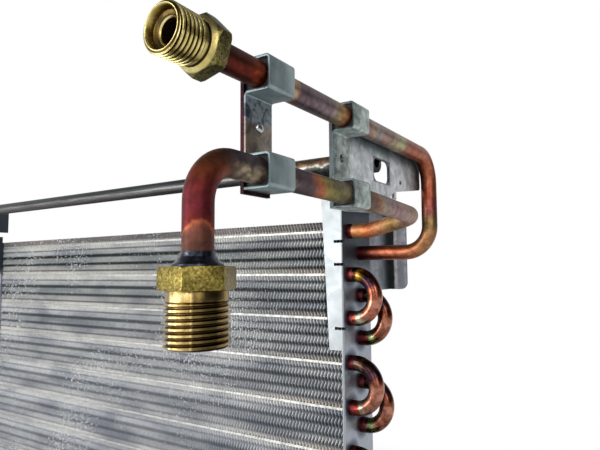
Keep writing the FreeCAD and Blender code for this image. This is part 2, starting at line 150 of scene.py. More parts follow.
# Places that follow
CORE_END = FIN_COUNT * FIN_PITCH / 2
CORE_FRONT = -CORE_DEPTH / 2
CORE_HEIGHT = TUBES_PER_ROW * TUBE_PITCH
FRONT_Y = -ROW_SPACING / 2
REAR_Y = ROW_SPACING / 2
FIRST_FRONT_Z = CORE_HEIGHT - TOP_MARGIN
FIRST_REAR_Z = FIRST_FRONT_Z - TUBE_PITCH / 2
PLATE_FRONT = CORE_FRONT - PLATE_FRONT_LIP
PLATE_FACE = CORE_END + PLATE_T
STUB_END = PLATE_FACE + STUB_OUT
PIPE_X = PLATE_FACE + PIPE_OFFSET
UPPER_Z = CORE_HEIGHT + UPPER_PIPE_RISE
LOWER_Z = CORE_HEIGHT + LOWER_PIPE_RISE
LOWER_HEX_TOP = LOWER_Z - LOWER_HEX_DROP
HAT_HALF = TUBE_R + CUSHION_WALL
SEAT_X = PIPE_X - HAT_HALF
WINDOW_Y = WINDOW_FRONT_Y + WINDOW_LENGTH / 2
WINDOW_Z = UPPER_Z - WINDOW_DROP - WINDOW_HEIGHT / 2
ROD_Z = CORE_HEIGHT + ROD_RISE

# Modelling distances: for one place, a merge in a row, a weld, a clearance, and the least step
NEAR = 0.01 * MM
ROW_MERGE = 0.02 * MM
WELD = 0.005 * MM
CLEAR = 0.02 * MM
LEAST_STEP = 0.0001 * MM
TURNED_SIDES = 64
THREAD_STEPS = 40
TOOTH_FOOT_SHARE = 0.94
TOOTH_SINK = 0.2 * MM
CHAMFER_SLOPE = 0.58

# How a coat of colour lies on the one below it
COVER = "MIX"
STAIN = "MULTIPLY"


def lower_run_z(y):
    """The height of the lower pipe's straight run, which falls evenly from the elbow to the dip."""
    return LOWER_Z + ELBOW_RISE * (DIP_Y - y) / (DIP_Y - ELBOW_Y)


def clamp_hole_z(y):
    """The height half-way between the pipes, where a clamp has its hole."""
    return (UPPER_Z + lower_run_z(y)) / 2


def linear(hex_code):
    """An sRGB colour such as #A0B1C2 as the linear colour that a shader takes."""
    parts = [int(hex_code[place:place + 2], 16) / 255 for place in (1, 3, 5)]
    return tuple(p / 12.92 if p <= 0.04045 else ((p + 0.055) / 1.055) ** 2.4 for p in parts) + (1.0,)


def add_node(material, kind, inputs=None, stops=(), **settings):
    """Adds one node. An input given as another node's output is linked, and any other is set."""
    tree = material.node_tree
    node = tree.nodes.new(kind)
    for name, value in settings.items():
        setattr(node, name, value)
    for name, value in (inputs or {}).items():
        if isinstance(value, bpy.types.NodeSocket):
            tree.links.new(value, node.inputs[name])
        else:
            node.inputs[name].default_value = value
    for index, (place, hex_code) in enumerate(stops):
        points = node.color_ramp.elements
        point = points[index] if index < 2 else points.new(place)
        point.position = place
        point.color = linear(hex_code)
    return node


def new_finish(name, metallic, roughness):
    """A material with its shader, and the place on the object that its patterns follow."""
    material = bpy.data.materials.new(name)
    material.use_nodes = True
    shader = material.node_tree.nodes["Principled BSDF"]
    shader.inputs["Metallic"].default_value = metallic
    shader.inputs["Roughness"].default_value = roughness
    place = add_node(material, "ShaderNodeTexCoord").outputs["Object"]
    return material, shader, place


def feed(material, shader, **inputs):
    """Links patterns to the shader's inputs, whose names have a space where a word here has a line."""
    for name, socket in inputs.items():
        material.node_tree.links.new(socket, shader.inputs[name.replace("_", " ")])


# Patterns

def coated(material, base, *coats):
    """A colour under its coats, the first laid first: how much of each shows, its colour and how it lies."""
    for share, colour, how in coats:
        if isinstance(colour, str):
            colour = linear(colour)
        base = add_node(material, "ShaderNodeMix", {0: share, 6: base, 7: colour},
                        data_type="RGBA", blend_type=how).outputs[2]
    return base


def overlap(material, *shares):
    """How much several patterns show at once, which is the product of their shares."""
    total = shares[0]
    for share in shares[1:]:
        product = add_node(material, "ShaderNodeMath", {0: total, 1: share}, operation="MULTIPLY")
        total = product.outputs["Value"]
    return total


def mottle(material, place, size, stops, detail=5.0, distortion=0.5):
    """A patchy colour, whose patches are about the given size across, and the cloud that it comes from."""
    cloud = add_node(material, "ShaderNodeTexNoise", {
        "Vector": place, "Scale": 1 / size, "Detail": detail, "Distortion": distortion})
    tone = add_node(material, "ShaderNodeValToRGB", {"Fac": cloud.outputs["Fac"]}, stops)
    return tone.outputs["Color"], cloud.outputs["Fac"]


def dusted(material, place, colour, size, dark, amount=1.0):
    """A colour with fine soot on it, in specks of about the given size."""
    specks, _ = mottle(material, place, size, [(0.4, dark), (0.58, "#FFFFFF")])
    return coated(material, colour, (amount, specks, STAIN))


def faces_along(material, axis):
    """1 where the surface faces along one axis of the object, either way, and 0 elsewhere."""
    normal = add_node(material, "ShaderNodeTexCoord").outputs["Normal"]
    parts = add_node(material, "ShaderNodeSeparateXYZ", {"Vector": normal})
    size = add_node(material, "ShaderNodeMath", {0: parts.outputs[axis]}, operation="ABSOLUTE")
    share = add_node(material, "ShaderNodeMapRange", {
        "Value": size.outputs["Value"], "From Min": 0.7, "From Max": 0.9})
    return share.outputs["Result"]


def fade_along(material, place, axis, start, end, first=0.0, last=1.0):
    """A value that goes evenly from first to last while one coordinate goes from start to end."""
    parts = add_node(material, "ShaderNodeSeparateXYZ", {"Vector": place})
    fade = add_node(material, "ShaderNodeMapRange", {
        "Value": parts.outputs[axis], "From Min": start, "From Max": end, "To Min": first, "To Max": last})
    return fade.outputs["Result"]


def distance_along(material, place, runs):
    """Millimetres along a bent pipe: each run adds its length as one coordinate goes from start to end."""
    total = 0.0
    for axis, start, end in runs:
        run = fade_along(material, place, axis, start * MM, end * MM, 0.0, abs(end - start))
        total = add_node(material, "ShaderNodeMath", {0: run, 1: total}).outputs["Value"]
    return total


def tinted_along(material, place, travel, sway, stops):
    """Colours in bands along a piece, each at its place, whose borders wander by up to the sway.

    Places and sway are in the travel's own unit: millimetres, or degrees round a bend.
    """
    cloud = add_node(material, "ShaderNodeTexNoise", {
        "Vector": place, "Scale": 1 / (9 * MM), "Detail": 6.0, "Distortion": 0.7})
    shift = add_node(material, "ShaderNodeMapRange", {
        "Value": cloud.outputs["Fac"], "From Min": 0.25, "From Max": 0.75, "To Min": -sway, "To Max": sway})
    moved = add_node(material, "ShaderNodeMath", {0: travel, 1: shift.outputs["Result"]})
    length = stops[-1][0]
    share = add_node(material, "ShaderNodeMath", {0: moved.outputs["Value"], 1: length}, operation="DIVIDE")
    tone = add_node(material, "ShaderNodeValToRGB", {"Fac": share.outputs["Value"]},
                    [(stop / length, colour) for stop, colour in stops])
    return tone.outputs["Color"]


# Finishes

def rolled_fin_aluminium():
    """Rolled aluminium fin stock, its ripples' light and shade painted in bands: bright where the ripple
    leans down, darker where it leans up, and a painted highlight line at each front tube.

    To the left the bands grow regular, a painted wash lightens the lower fins, and bent edges carry painted
    glints.
    The fins behind the end plate's flange are painted black as its shadow, which shows through its slits.
    """
    material, shader, place = new_finish("fin_stock_rolled_aluminium", metallic=0.1, roughness=0.45)
    parts = add_node(material, "ShaderNodeSeparateXYZ", {"Vector": place}).outputs
    pitches = add_node(material, "ShaderNodeMapRange", {
        "Value": parts["Z"], "From Min": FIRST_FRONT_Z, "From Max": FIRST_FRONT_Z - TUBE_PITCH,
        "To Min": 0.5, "To Max": 1.5}, clamp=False)
    turn = add_node(material, "ShaderNodeMath", {0: pitches.outputs["Result"]}, operation="FRACT")
    # Bands of painted light and shade along each ripple, with a painted highlight line at each front tube
    near_shade_bands = add_node(material, "ShaderNodeValToRGB", {"Fac": turn.outputs["Value"]}, [
        (0.0, "#E8EAEA"), (0.05, "#C0C6C6"), (0.1, "#262E30"), (0.14, "#2A3032"), (0.19, "#CED2D2"),
        (0.26, "#F2F4F4"), (0.31, "#40484A"), (0.35, "#50565A"), (0.39, "#C8BEB2"), (0.47, "#E0D6CA"),
        (0.48, "#FFFFFF"), (0.525, "#FFFFFF"), (0.54, "#E0E0E0"), (0.61, "#DADADA"), (0.65, "#5C6262"),
        (0.69, "#666C6C"), (0.74, "#EEF0F0"), (0.81, "#C8CACA"), (0.86, "#2A3032"), (0.9, "#2A3032"),
        (0.95, "#D6D8D8")])
    far_shade_bands = add_node(material, "ShaderNodeValToRGB", {"Fac": turn.outputs["Value"]}, [
        (0.0, "#D0D4D2"), (0.07, "#D0D4D2"), (0.1, "#2C3230"), (0.15, "#2C3230"), (0.19, "#D2D4D2"),
        (0.3, "#DADAD8"), (0.33, "#7C766E"), (0.35, "#7C766E"), (0.38, "#FAF8F2"), (0.5, "#FFFFFA"),
        (0.62, "#FAF8F4"), (0.65, "#8C8E8C"), (0.67, "#8C8E8C"), (0.7, "#EEF0F0"), (0.8, "#E6E8E8"),
        (0.84, "#2C3230"), (0.9, "#2C3230"), (0.94, "#D0D4D2")])
    left = fade_along(material, place, "X", 190 * MM, 110 * MM)

    long = add_node(material, "ShaderNodeMapping", {"Vector": place, "Scale": (0.25, 1.0, 1.0)})
    cloud, _ = mottle(material, long.outputs["Vector"], 14 * MM, [(0.32, "#C4C8D0"), (0.6, "#FFFFFF")])
    grain = add_node(material, "ShaderNodeTexNoise", {
        "Vector": place, "Scale": 1 / (2.5 * MM), "Detail": 3.0})
    grained = add_node(material, "ShaderNodeMapRange", {
        "Value": grain.outputs["Fac"], "From Min": 0.4, "From Max": 0.58, "To Min": 0.16, "To Max": 0.0})
    # Painted light: a pale wash over the lower fins, strongest to the left
    lower = fade_along(material, place, "Z", 310 * MM, 190 * MM, 0.0, 0.36)
    reach = add_node(material, "ShaderNodeMapRange", {"Value": left, "To Min": 0.55})
    pale = overlap(material, lower, reach.outputs["Result"])
    top = fade_along(material, place, "Z", 327.4 * MM, 328.2 * MM)

    # Painted glints: white flecks where two clouds overlap, on the fins to the left
    glint = add_node(material, "ShaderNodeTexNoise", {
        "Vector": place, "Scale": 1 / (1.5 * MM), "Detail": 1.0})
    bent = add_node(material, "ShaderNodeTexNoise", {
        "Vector": place, "Scale": 1 / (100 * MM), "Detail": 4.0})
    painted_glint_share = add_node(material, "ShaderNodeMapRange", {
        "Value": overlap(material, glint.outputs["Fac"], bent.outputs["Fac"]),
        "From Min": 0.345, "From Max": 0.37, "To Max": 0.85})
    painted_glints = overlap(material, painted_glint_share.outputs["Result"], left)

    # Painted shadow: the fins behind the end plate's flange are painted near black
    flange_shadow_tests = []
    for axis, operation, limit in (("X", "GREATER_THAN", FLANGE_SHADOW_X), ("Z", "GREATER_THAN", FLANGE_SHADOW_Z),
                                   ("Y", "LESS_THAN", FLANGE_SHADOW_Y)):
        flange_shadow_tests.append(add_node(material, "ShaderNodeMath", {0: parts[axis], 1: limit},
                                operation=operation).outputs["Value"])
    tone = coated(material, near_shade_bands.outputs["Color"], (left, far_shade_bands.outputs["Color"], COVER),
                  (pale, "#F4F6FF", COVER), (grained.outputs["Result"], "#505452", COVER),
                  (top, "#A09A98", COVER), (1.0, cloud, STAIN), (painted_glints, "#FFFFFF", COVER),
                  (overlap(material, *flange_shadow_tests), "#0A0A0B", COVER))
    feed(material, shader, Base_Color=tone)
    return material


def drawn_collar_aluminium(name, first_z):
    """Fin collars drawn tight round the tubes, with painted light: a painted highlight line in front, a
    darker brown painted reflection above, and lighter grey below.
    """
    material, shader, place = new_finish(name, metallic=0.4, roughness=0.36)
    parts = add_node(material, "ShaderNodeSeparateXYZ", {"Vector": place})
    local = add_node(material, "ShaderNodeMath", {
        0: parts.outputs["Z"], 1: first_z + TUBE_PITCH / 2, 2: first_z - TUBE_PITCH / 2}, operation="WRAP")
    up = add_node(material, "ShaderNodeMapRange", {
        "Value": local.outputs["Value"],
        "From Min": first_z - COLLAR_ROOT_R, "From Max": first_z + COLLAR_ROOT_R})
    # Painted light round each collar: grey below, a painted highlight line, and a darker brown painted
    # reflection above
    tone = add_node(material, "ShaderNodeValToRGB", {"Fac": up.outputs["Result"]}, [
        (0.05, "#6E7278"), (0.3, "#9A9AA0"), (0.4, "#A8A8AC"), (0.43, "#FFFFFF"), (0.57, "#FFFFFF"),
        (0.6, "#B4A898"), (0.95, "#6E6258")])
    feed(material, shader, Base_Color=dusted(material, place, tone.outputs["Color"], 6 * MM, "#C8C4BE"))
    return material


def highlight_bar_aluminium():
    """Pale aluminium for the bars that paint each front tube's highlight line: greyer towards the left end
    and lighter towards the right.
    """
    material, shader, place = new_finish("tube_highlight_bar_aluminium", metallic=0.3, roughness=0.4)
    tone = tinted_along(material, place, distance_along(material, place, [("X", -200, 200)]), 6.0, [
        (0.0, "#8C8A84"), (120.0, "#A09E98"), (260.0, "#BEBCB6"), (330.0, "#D0D0CA"), (400.0, "#DADAD4")])
    feed(material, shader, Base_Color=dusted(material, place, tone, 4 * MM, "#B0B0AC", 0.7))
    return material


def galvanised_sheet(name, dark, light, roughness, metallic, edge=None):
    """Hot-dip galvanised sheet: a cloudy zinc skin broken up by spangle and rubs, and dull cut edges."""
    material, shader, place = new_finish(name, metallic, roughness)
    spangle = add_node(material, "ShaderNodeTexVoronoi", {"Vector": place, "Scale": 1 / (3.5 * MM)})
    cloud = add_node(material, "ShaderNodeTexNoise", {
        "Vector": place, "Scale": 1 / (13 * MM), "Detail": 7.0, "Roughness": 0.66, "Distortion": 0.6})
    mixed = add_node(material, "ShaderNodeMix", {
        "Factor": 0.12, "A": cloud.outputs["Fac"], "B": spangle.outputs["Distance"]}, data_type="FLOAT")
    tone = add_node(material, "ShaderNodeValToRGB", {"Fac": mixed.outputs["Result"]},
                    [(0.28, dark), (0.62, light)]).outputs["Color"]
    if edge:
        tone = coated(material, tone, (faces_along(material, "Y"), edge, COVER))
    rough = add_node(material, "ShaderNodeMapRange", {
        "Value": cloud.outputs["Fac"], "From Min": 0.3, "From Max": 0.7,
        "To Min": roughness - 0.08, "To Max": roughness + 0.12})
    bump = add_node(material, "ShaderNodeBump", {
        "Height": mixed.outputs["Result"], "Strength": 0.15, "Distance": 0.4 * MM})
    feed(material, shader, Roughness=rough.outputs["Result"], Normal=bump.outputs["Normal"])
    return material, shader, place, tone


def front_clamp_sheet():
    """Galvanised strip that the torch has dulled: teal grey, smoky by the rivet and brown below it."""
    material, shader, place, tone = galvanised_sheet(
        "clamp_strip_smoked_galvanised_steel", "#66747A", "#8C9C9E", roughness=0.33, metallic=0.6,
        edge="#66747A")
    parts = add_node(material, "ShaderNodeSeparateXYZ", {"Vector": place}).outputs
    smoke_and_shade, _ = mottle(material, place, 4 * MM, [(0.38, "#3A4046"), (0.56, "#86929A")],
                      detail=7.0, distortion=1.2)
    brown, _ = mottle(material, place, 6 * MM, [(0.35, "#5C544C"), (0.6, "#94887C")],
                      detail=6.0, distortion=0.8)
    wander = add_node(material, "ShaderNodeTexNoise", {
        "Vector": place, "Scale": 1 / (3 * MM), "Detail": 5.0, "Distortion": 0.5})
    border = add_node(material, "ShaderNodeMath", {0: wander.outputs["Fac"], 1: 7 * MM, 2: parts["Z"]},
                      operation="MULTIPLY_ADD")
    below = add_node(material, "ShaderNodeMapRange", {
        "Value": border.outputs["Value"], "From Min": 358.6 * MM, "From Max": 357.4 * MM})
    web = add_node(material, "ShaderNodeMath", {0: parts["X"], 1: SEAT_X + STRIP_T + 0.1 * MM},
                   operation="LESS_THAN")
    stained = coated(material, smoke_and_shade, (below.outputs["Result"], brown, COVER))
    feed(material, shader, Base_Color=coated(material, tone, (web.outputs["Value"], stained, COVER)))
    return material


def rear_clamp_sheet():
    """Galvanised strip with a greenish tinge, dull on its cut edges."""
    material, shader, place, tone = galvanised_sheet(
        "rear_clamp_galvanised_steel", "#7A8684", "#C6D0CE", roughness=0.36, metallic=0.6, edge="#4A565A")
    feed(material, shader, Base_Color=dusted(material, place, tone, 4 * MM, "#8A9A90", 0.7))
    return material


def back_plate_sheet():
    """Flame-darkened steel plate: a maroon and purple oxide on its edges."""
    material, shader, place = new_finish(
        "clamp_back_plate_flame_oxidised_steel", metallic=1.0, roughness=0.36)
    tone, _ = mottle(material, place, 5 * MM, [(0.35, "#181014"), (0.65, "#36181F")])
    feed(material, shader, Base_Color=tone)
    return material


def rear_bracket_sheet():
    """Galvanised bracket: pale and cloudy, with painted shade darkening its web towards the back, and on its
    lip a painted shadow by the fold beside a painted highlight line.
    """
    material, shader, place, tone = galvanised_sheet(
        "rear_bracket_galvanised_sheet", "#D8DAE0", "#F0F2F8", roughness=0.42, metallic=0.2, edge="#E6E8EE")
    # Painted shade: the web darkens towards the back, under the return leg
    web = tinted_along(material, place, distance_along(material, place, [("Y", 60, 14)]), 0.3, [
        (0.0, "#2A2E30"), (8.0, "#3A4044"), (15.0, "#8A9094"), (25.0, "#B8BCC0"), (46.0, "#8A8E94")])
    # On the lip: a painted shadow next to the fold, then a painted highlight line
    lip = tinted_along(material, place, distance_along(material, place, [("X", 204, 219)]), 0.2, [
        (0.0, "#2C3234"), (1.8, "#34393C"), (2.6, "#FFFFF4"), (4.4, "#FFFFF4"), (5.0, "#C8C8CE"),
        (15.0, "#F4F4FC")])
    shade = coated(material, web, (faces_along(material, "Y"), lip, COVER))
    tone = coated(material, tone, (1.0, shade, STAIN))
    feed(material, shader, Base_Color=dusted(material, place, tone, 5 * MM, "#B4B6B6", 0.6))
    return material


def arm_plate_sheet():
    """The arm's sheet: pale in the middle, with painted shade at its far end behind the riser and smoky
    painted shadow along its top under the pipe, burred round its window, and a painted shadow behind the rear
    clamp's hole.
    """
    material, shader, place, tone = galvanised_sheet(
        "arm_bracket_galvanised_sheet", "#B2B8BE", "#F0F6FA", roughness=0.42, metallic=0.2, edge="#3E464C")
    # Painted shade: darker towards the far end, behind the riser
    smoke_and_shade = tinted_along(material, place, distance_along(material, place, [("Y", -34, 6)]), 3.0, [
        (0.0, "#FFFFFF"), (24.0, "#E0DEDE"), (31.0, "#8A8484"), (35.0, "#3E3A3A"), (40.0, "#262323")])
    # Darker along the top edge under the pipe: painted shadow, partly smoky
    soot_and_shade = tinted_along(material, place, distance_along(material, place, [("Z", 354, 368)]), 1.6, [
        (0.0, "#FFFFFF"), (6.0, "#F4F4F4"), (8.5, "#C4CACC"), (10.5, "#8E989C"), (14.0, "#5A6468")])

    offset = add_node(material, "ShaderNodeVectorMath", {0: place, 1: (PIPE_X, WINDOW_Y, WINDOW_Z)},
                      operation="SUBTRACT")
    scaled = add_node(material, "ShaderNodeVectorMath", {
        0: offset.outputs["Vector"], 1: (0.0, 2 / WINDOW_LENGTH, 2 / WINDOW_HEIGHT)}, operation="MULTIPLY")
    size = add_node(material, "ShaderNodeVectorMath", {0: scaled.outputs["Vector"]}, operation="ABSOLUTE")
    sides = add_node(material, "ShaderNodeSeparateXYZ", {"Vector": size.outputs["Vector"]})
    far = add_node(material, "ShaderNodeMath", {0: sides.outputs["Y"], 1: sides.outputs["Z"]},
                   operation="MAXIMUM")
    burr = add_node(material, "ShaderNodeMapRange", {
        "Value": far.outputs["Value"], "From Min": 1.02, "From Max": 1.16, "To Min": 0.8, "To Max": 0.0})

    # Painted shadow: a near-black spot on the sheet behind the rear clamp's hole, seen through it
    gap = add_node(material, "ShaderNodeVectorMath", {
        0: place, 1: (SEAT_X, REAR_CLAMP_Y, clamp_hole_z(REAR_CLAMP_Y))}, operation="DISTANCE")
    hole = add_node(material, "ShaderNodeMath", {0: gap.outputs["Value"], 1: HOLE_SHADE_R},
                    operation="LESS_THAN")
    tone = coated(material, tone, (1.0, smoke_and_shade, STAIN), (1.0, soot_and_shade, STAIN),
                  (burr.outputs["Result"], "#3A4044", COVER), (hole.outputs["Value"], "#08090A", COVER))
    feed(material, shader, Base_Color=dusted(material, place, tone, 5 * MM, "#B4B6B6", 0.6))
    return material


def end_plate_sheet():
    """Galvanised end plate: blue grey, sooty and with painted shade round the brazed tube ends, painted shade
    on its top behind the pipes, a bright turned flange, and faces along Y and Z painted black as shade in its
    slits.
    """
    material, shader, place, tone = galvanised_sheet(
        "end_plate_galvanised_sheet", "#8A919C", "#AEB4BE", roughness=0.42, metallic=0.8)
    gaps = []
    for y, z in ((FRONT_Y, FIRST_FRONT_Z), (REAR_Y, FIRST_REAR_Z)):
        wrapped = add_node(material, "ShaderNodeVectorMath", {
            0: place, 1: (1, 1, z + TUBE_PITCH / 2), 2: (-1, -1, z - TUBE_PITCH / 2)}, operation="WRAP")
        gap = add_node(material, "ShaderNodeVectorMath", {
            0: wrapped.outputs["Vector"], 1: (PLATE_FACE, y, z)}, operation="DISTANCE")
        gaps.append(gap.outputs["Value"])
    nearest = add_node(material, "ShaderNodeMath", {0: gaps[0], 1: gaps[1]}, operation="MINIMUM")
    around = add_node(material, "ShaderNodeMapRange", {
        "Value": nearest.outputs["Value"], "From Min": 4 * MM, "From Max": 13 * MM})
    # Darker round the brazed tube ends: partly sooty, partly painted shade beside the return bends
    soot_and_shade = add_node(material, "ShaderNodeValToRGB", {"Fac": around.outputs["Result"]}, [
        (0.0, "#4A4E58"), (0.3, "#9CA0B0"), (0.65, "#FFFFFF")])
    # Painted shade on the plate's top part, behind the pipes
    high = fade_along(material, place, "Z", 296 * MM, 306 * MM)
    parts = add_node(material, "ShaderNodeSeparateXYZ", {"Vector": place})
    flange = add_node(material, "ShaderNodeMath", {0: parts.outputs["Y"], 1: PLATE_FRONT + 0.3 * MM},
                      operation="LESS_THAN")
    outer = overlap(material, flange.outputs["Value"], faces_along(material, "Y"))
    # The faces along Y and Z, apart from the flange's front, are painted near black as shade inside the
    # flange's slits
    tone = coated(material, tone, (1.0, soot_and_shade.outputs["Color"], STAIN), (high, "#4C545C", COVER),
                  (faces_along(material, "Y"), "#101214", COVER), (outer, "#969B9D", COVER),
                  (faces_along(material, "Z"), "#101214", COVER))
    feed(material, shader, Base_Color=tone)
    return material


def drawn_steel_rod():
    """Zinc-plated drawn steel tube: grey, with draw lines along it, drawn coarser than the real ones, and
    painted shading across it: dark on top and at the bottom, with a painted highlight stripe below the
    middle.
    """
    material, shader, place = new_finish("brace_rod_plated_steel", metallic=1.0, roughness=0.4)
    stretched = add_node(material, "ShaderNodeMapping", {"Vector": place, "Scale": (0.04, 1.0, 1.0)})
    tone, _ = mottle(material, stretched.outputs["Vector"], 1.2 * MM,
                     [(0.3, "#5E6264"), (0.7, "#A4A6A8")], detail=3.0)
    high = fade_along(material, place, "Z", ROD_Z - ROD_R, ROD_Z + ROD_R)
    # Painted shading across the rod: dark top and bottom, with a painted highlight stripe below the middle
    painted_shading = add_node(material, "ShaderNodeValToRGB", {"Fac": high}, [
        (0.0, "#3A3A3C"), (0.12, "#6A6462"), (0.26, "#B4ACA8"), (0.42, "#C8C4C0"), (0.56, "#7A8082"),
        (1.0, "#484E52")])
    feed(material, shader, Base_Color=coated(material, tone, (1.0, painted_shading.outputs["Color"], STAIN)))
    return material


def heated_sleeve_steel():
    """Welded steel sleeve: tan heat tint on top, a pale ragged line at mid height, and dark green-grey below.
    """
    material, shader, place = new_finish("rod_sleeve_heat_tinted_steel", metallic=1.0, roughness=0.4)
    tone = tinted_along(material, place, distance_along(material, place, [("Z", 353, 365)]), 1.4, [
        (0.0, "#1C2022"), (3.4, "#34393A"), (5.2, "#464A46"), (5.8, "#A8A49C"), (6.3, "#A8A49C"),
        (7.0, "#7A6652"), (9.5, "#9E856A"), (12.0, "#7A6450")])
    feed(material, shader, Base_Color=dusted(material, place, tone, 4 * MM, "#7A7068", 0.7))
    return material


def oxidised_tube_copper():
    """Copper tubes: bare and dulled along the core, with a red oxide and soot on the brazed ends."""
    material, shader, place = new_finish("tube_end_oxidised_copper", metallic=1.0, roughness=0.45)
    bare, _ = mottle(material, place, 10 * MM, [(0.35, "#7A4634"), (0.6, "#A8674C")])
    oxide, _ = mottle(material, place, 5 * MM, [(0.32, "#34141A"), (0.5, "#5E2428"), (0.7, "#80403C")])
    brazed = fade_along(material, place, "X", 190 * MM, 203 * MM)
    feed(material, shader, Base_Color=coated(material, bare, (brazed, oxide, COVER)))
    return material


def brazed_bend_copper(name, first_tube_z, dark, gold, orange, solder):
    """Copper return bends: smoked olive and straw on top, a purple band, bare orange, and solder at the foot.

    The first bend joins the second and third tube of its row, and the next ones follow two pitches apart.
    """
    material, shader, place = new_finish(name, metallic=1.0, roughness=0.22)
    middle_z = first_tube_z - 1.5 * TUBE_PITCH
    parts = add_node(material, "ShaderNodeSeparateXYZ", {"Vector": place})
    local = add_node(material, "ShaderNodeMath", {
        0: parts.outputs["Z"], 1: middle_z + TUBE_PITCH, 2: middle_z - TUBE_PITCH}, operation="WRAP")
    up = add_node(material, "ShaderNodeMath", {0: local.outputs["Value"], 1: middle_z}, operation="SUBTRACT")
    out = add_node(material, "ShaderNodeMath", {0: parts.outputs["X"], 1: STUB_END - 0.5 * MM},
                   operation="SUBTRACT")
    turn = add_node(material, "ShaderNodeMath", {0: up.outputs["Value"], 1: out.outputs["Value"]},
                    operation="ARCTAN2")
    degrees = add_node(material, "ShaderNodeMapRange", {
        "Value": turn.outputs["Value"], "From Min": math.pi / 2, "From Max": -math.pi / 2, "To Max": 180.0})
    tone = tinted_along(material, place, degrees.outputs["Result"], 12.0, [
        (0.0, "#4A2420"), (8.0, dark), (20.0, gold), (34.0, dark), (48.0, "#3C262C"), (64.0, "#42282E"),
        (70.0, "#7A4436"), (84.0, orange), (108.0, "#B07A66"), (128.0, orange), (146.0, "#8E6454"),
        (158.0, solder), (166.0, "#8A8468"), (172.0, "#7A3028"), (180.0, "#7A3028")])
    fine = add_node(material, "ShaderNodeTexNoise", {"Vector": place, "Scale": 1 / (2.8 * MM), "Detail": 4.0})
    rough = add_node(material, "ShaderNodeMapRange", {
        "Value": fine.outputs["Fac"], "From Min": 0.3, "From Max": 0.7, "To Min": 0.15, "To Max": 0.3})
    feed(material, shader, Base_Color=dusted(material, place, tone, 4 * MM, "#7E665E", 0.7),
         Roughness=rough.outputs["Result"])
    return material


def upper_pipe_copper():
    """Flame-coloured copper pipe: sooty maroon by the fitting, lilac grey along it, orange at the bend."""
    material, shader, place = new_finish("upper_pipe_heat_tinted_copper", metallic=1.0, roughness=0.42)
    travel = distance_along(material, place, [("Y", -190, -6), ("Z", 362, 322), ("X", 248, 208)])
    tone = tinted_along(material, place, travel, 3.5, [
        (0.0, "#14100E"), (5.0, "#2E1612"), (12.0, "#54221A"), (20.0, "#6A2A1E"), (27.0, "#A04A2C"),
        (34.0, "#2A1614"), (42.0, "#3A2420"), (44.0, "#CCA47E"), (47.6, "#B49070"), (50.0, "#6C5A62"),
        (66.0, "#7E6C72"), (74.0, "#8C7C7C"), (80.0, "#A8905C"), (85.0, "#C0875C"), (90.0, "#B05A4C"),
        (100.0, "#A08074"), (107.0, "#8C6C62"), (114.0, "#A4907E"), (119.0, "#8E8A86"), (126.0, "#98786E"),
        (138.0, "#9A8872"), (146.0, "#A6A57C"), (152.0, "#98705A"), (160.0, "#9A5238"), (180.0, "#AC684A"),
        (190.0, "#A8644A"), (200.0, "#98503C"), (209.0, "#84504A"), (217.0, "#8E7650"), (230.0, "#A86C4C"),
        (246.0, "#AC644A"), (264.0, "#5A2A26")])
    feed(material, shader, Base_Color=dusted(material, place, tone, 3.5 * MM, "#928684", 0.5))
    return material


def lower_pipe_copper():
    """Flame-coloured copper pipe: red oxide up the elbow with one arched band, olive, then lilac and tan.

    The band is highest on the side of the leg that faces the torch, and the run's underside is bare tan.
    """
    material, shader, place = new_finish("lower_pipe_heat_tinted_copper", metallic=0.85, roughness=0.5)
    torch_x, torch_y, band_drop = 0.71, -0.7, 4.6
    facing = add_node(material, "ShaderNodeVectorMath", {0: place, 1: (torch_x, torch_y, 0.0)},
                      operation="DOT_PRODUCT")
    middle = torch_x * PIPE_X + torch_y * ELBOW_Y
    arch = add_node(material, "ShaderNodeMapRange", {
        "Value": facing.outputs["Value"], "From Min": middle, "From Max": middle + TUBE_R,
        "To Min": band_drop, "To Max": 0.0})
    leg = fade_along(material, place, "Z", 328 * MM, 322 * MM)
    run = distance_along(material, place, [("Z", 303, 336), ("Y", -184, -12), ("X", 250, 208)])
    travel = add_node(material, "ShaderNodeMath", {0: run, 1: overlap(material, arch.outputs["Result"], leg)})
    travel = travel.outputs["Value"]
    tone = tinted_along(material, place, travel, 1.4, [
        (0.0, "#2E1E1A"), (4.0, "#52342A"), (7.0, "#5A382E"), (11.0, "#62392F"), (12.8, "#7E4836"),
        (13.2, "#BE7650"), (13.8, "#8A3428"), (14.6, "#64201E"), (19.0, "#5C1A24"), (25.0, "#64221F"),
        (30.0, "#7A3C22"), (35.0, "#5A3A2A"), (41.0, "#4A3C42"), (48.0, "#544A4C"), (60.0, "#5A4640"),
        (70.0, "#463A44"), (82.0, "#5A4448"), (88.0, "#B8683C"), (95.0, "#8C8446"), (104.0, "#6C6640"),
        (113.0, "#A89A7C"), (124.0, "#5C5244"), (137.0, "#6C5040"), (142.0, "#9A6A48"), (147.0, "#9A8C7C"),
        (160.0, "#9A7A7C"), (180.0, "#A88C80"), (205.0, "#9A7A48"), (214.0, "#C89468"), (226.0, "#C8744A"),
        (238.0, "#C08858"), (247.0, "#C0A8B4")])

    front_z = lower_run_z(FRONT_CLAMP_Y)
    below = fade_along(material, place, "Z", front_z + 1.0 * MM, front_z - 1.5 * MM)
    reached = add_node(material, "ShaderNodeMapRange", {"Value": travel, "From Min": 36.0, "From Max": 42.0})
    unpassed = add_node(material, "ShaderNodeMapRange", {"Value": travel, "From Min": 75.0, "From Max": 60.0})
    bare = overlap(material, reached.outputs["Result"], unpassed.outputs["Result"], below)
    tan, _ = mottle(material, place, 3 * MM, [(0.35, "#6E6450"), (0.65, "#A2927A")])
    tone = coated(material, tone, (bare, tan, COVER))
    feed(material, shader, Base_Color=dusted(material, place, tone, 3 * MM, "#7E7270", 0.4))
    return material


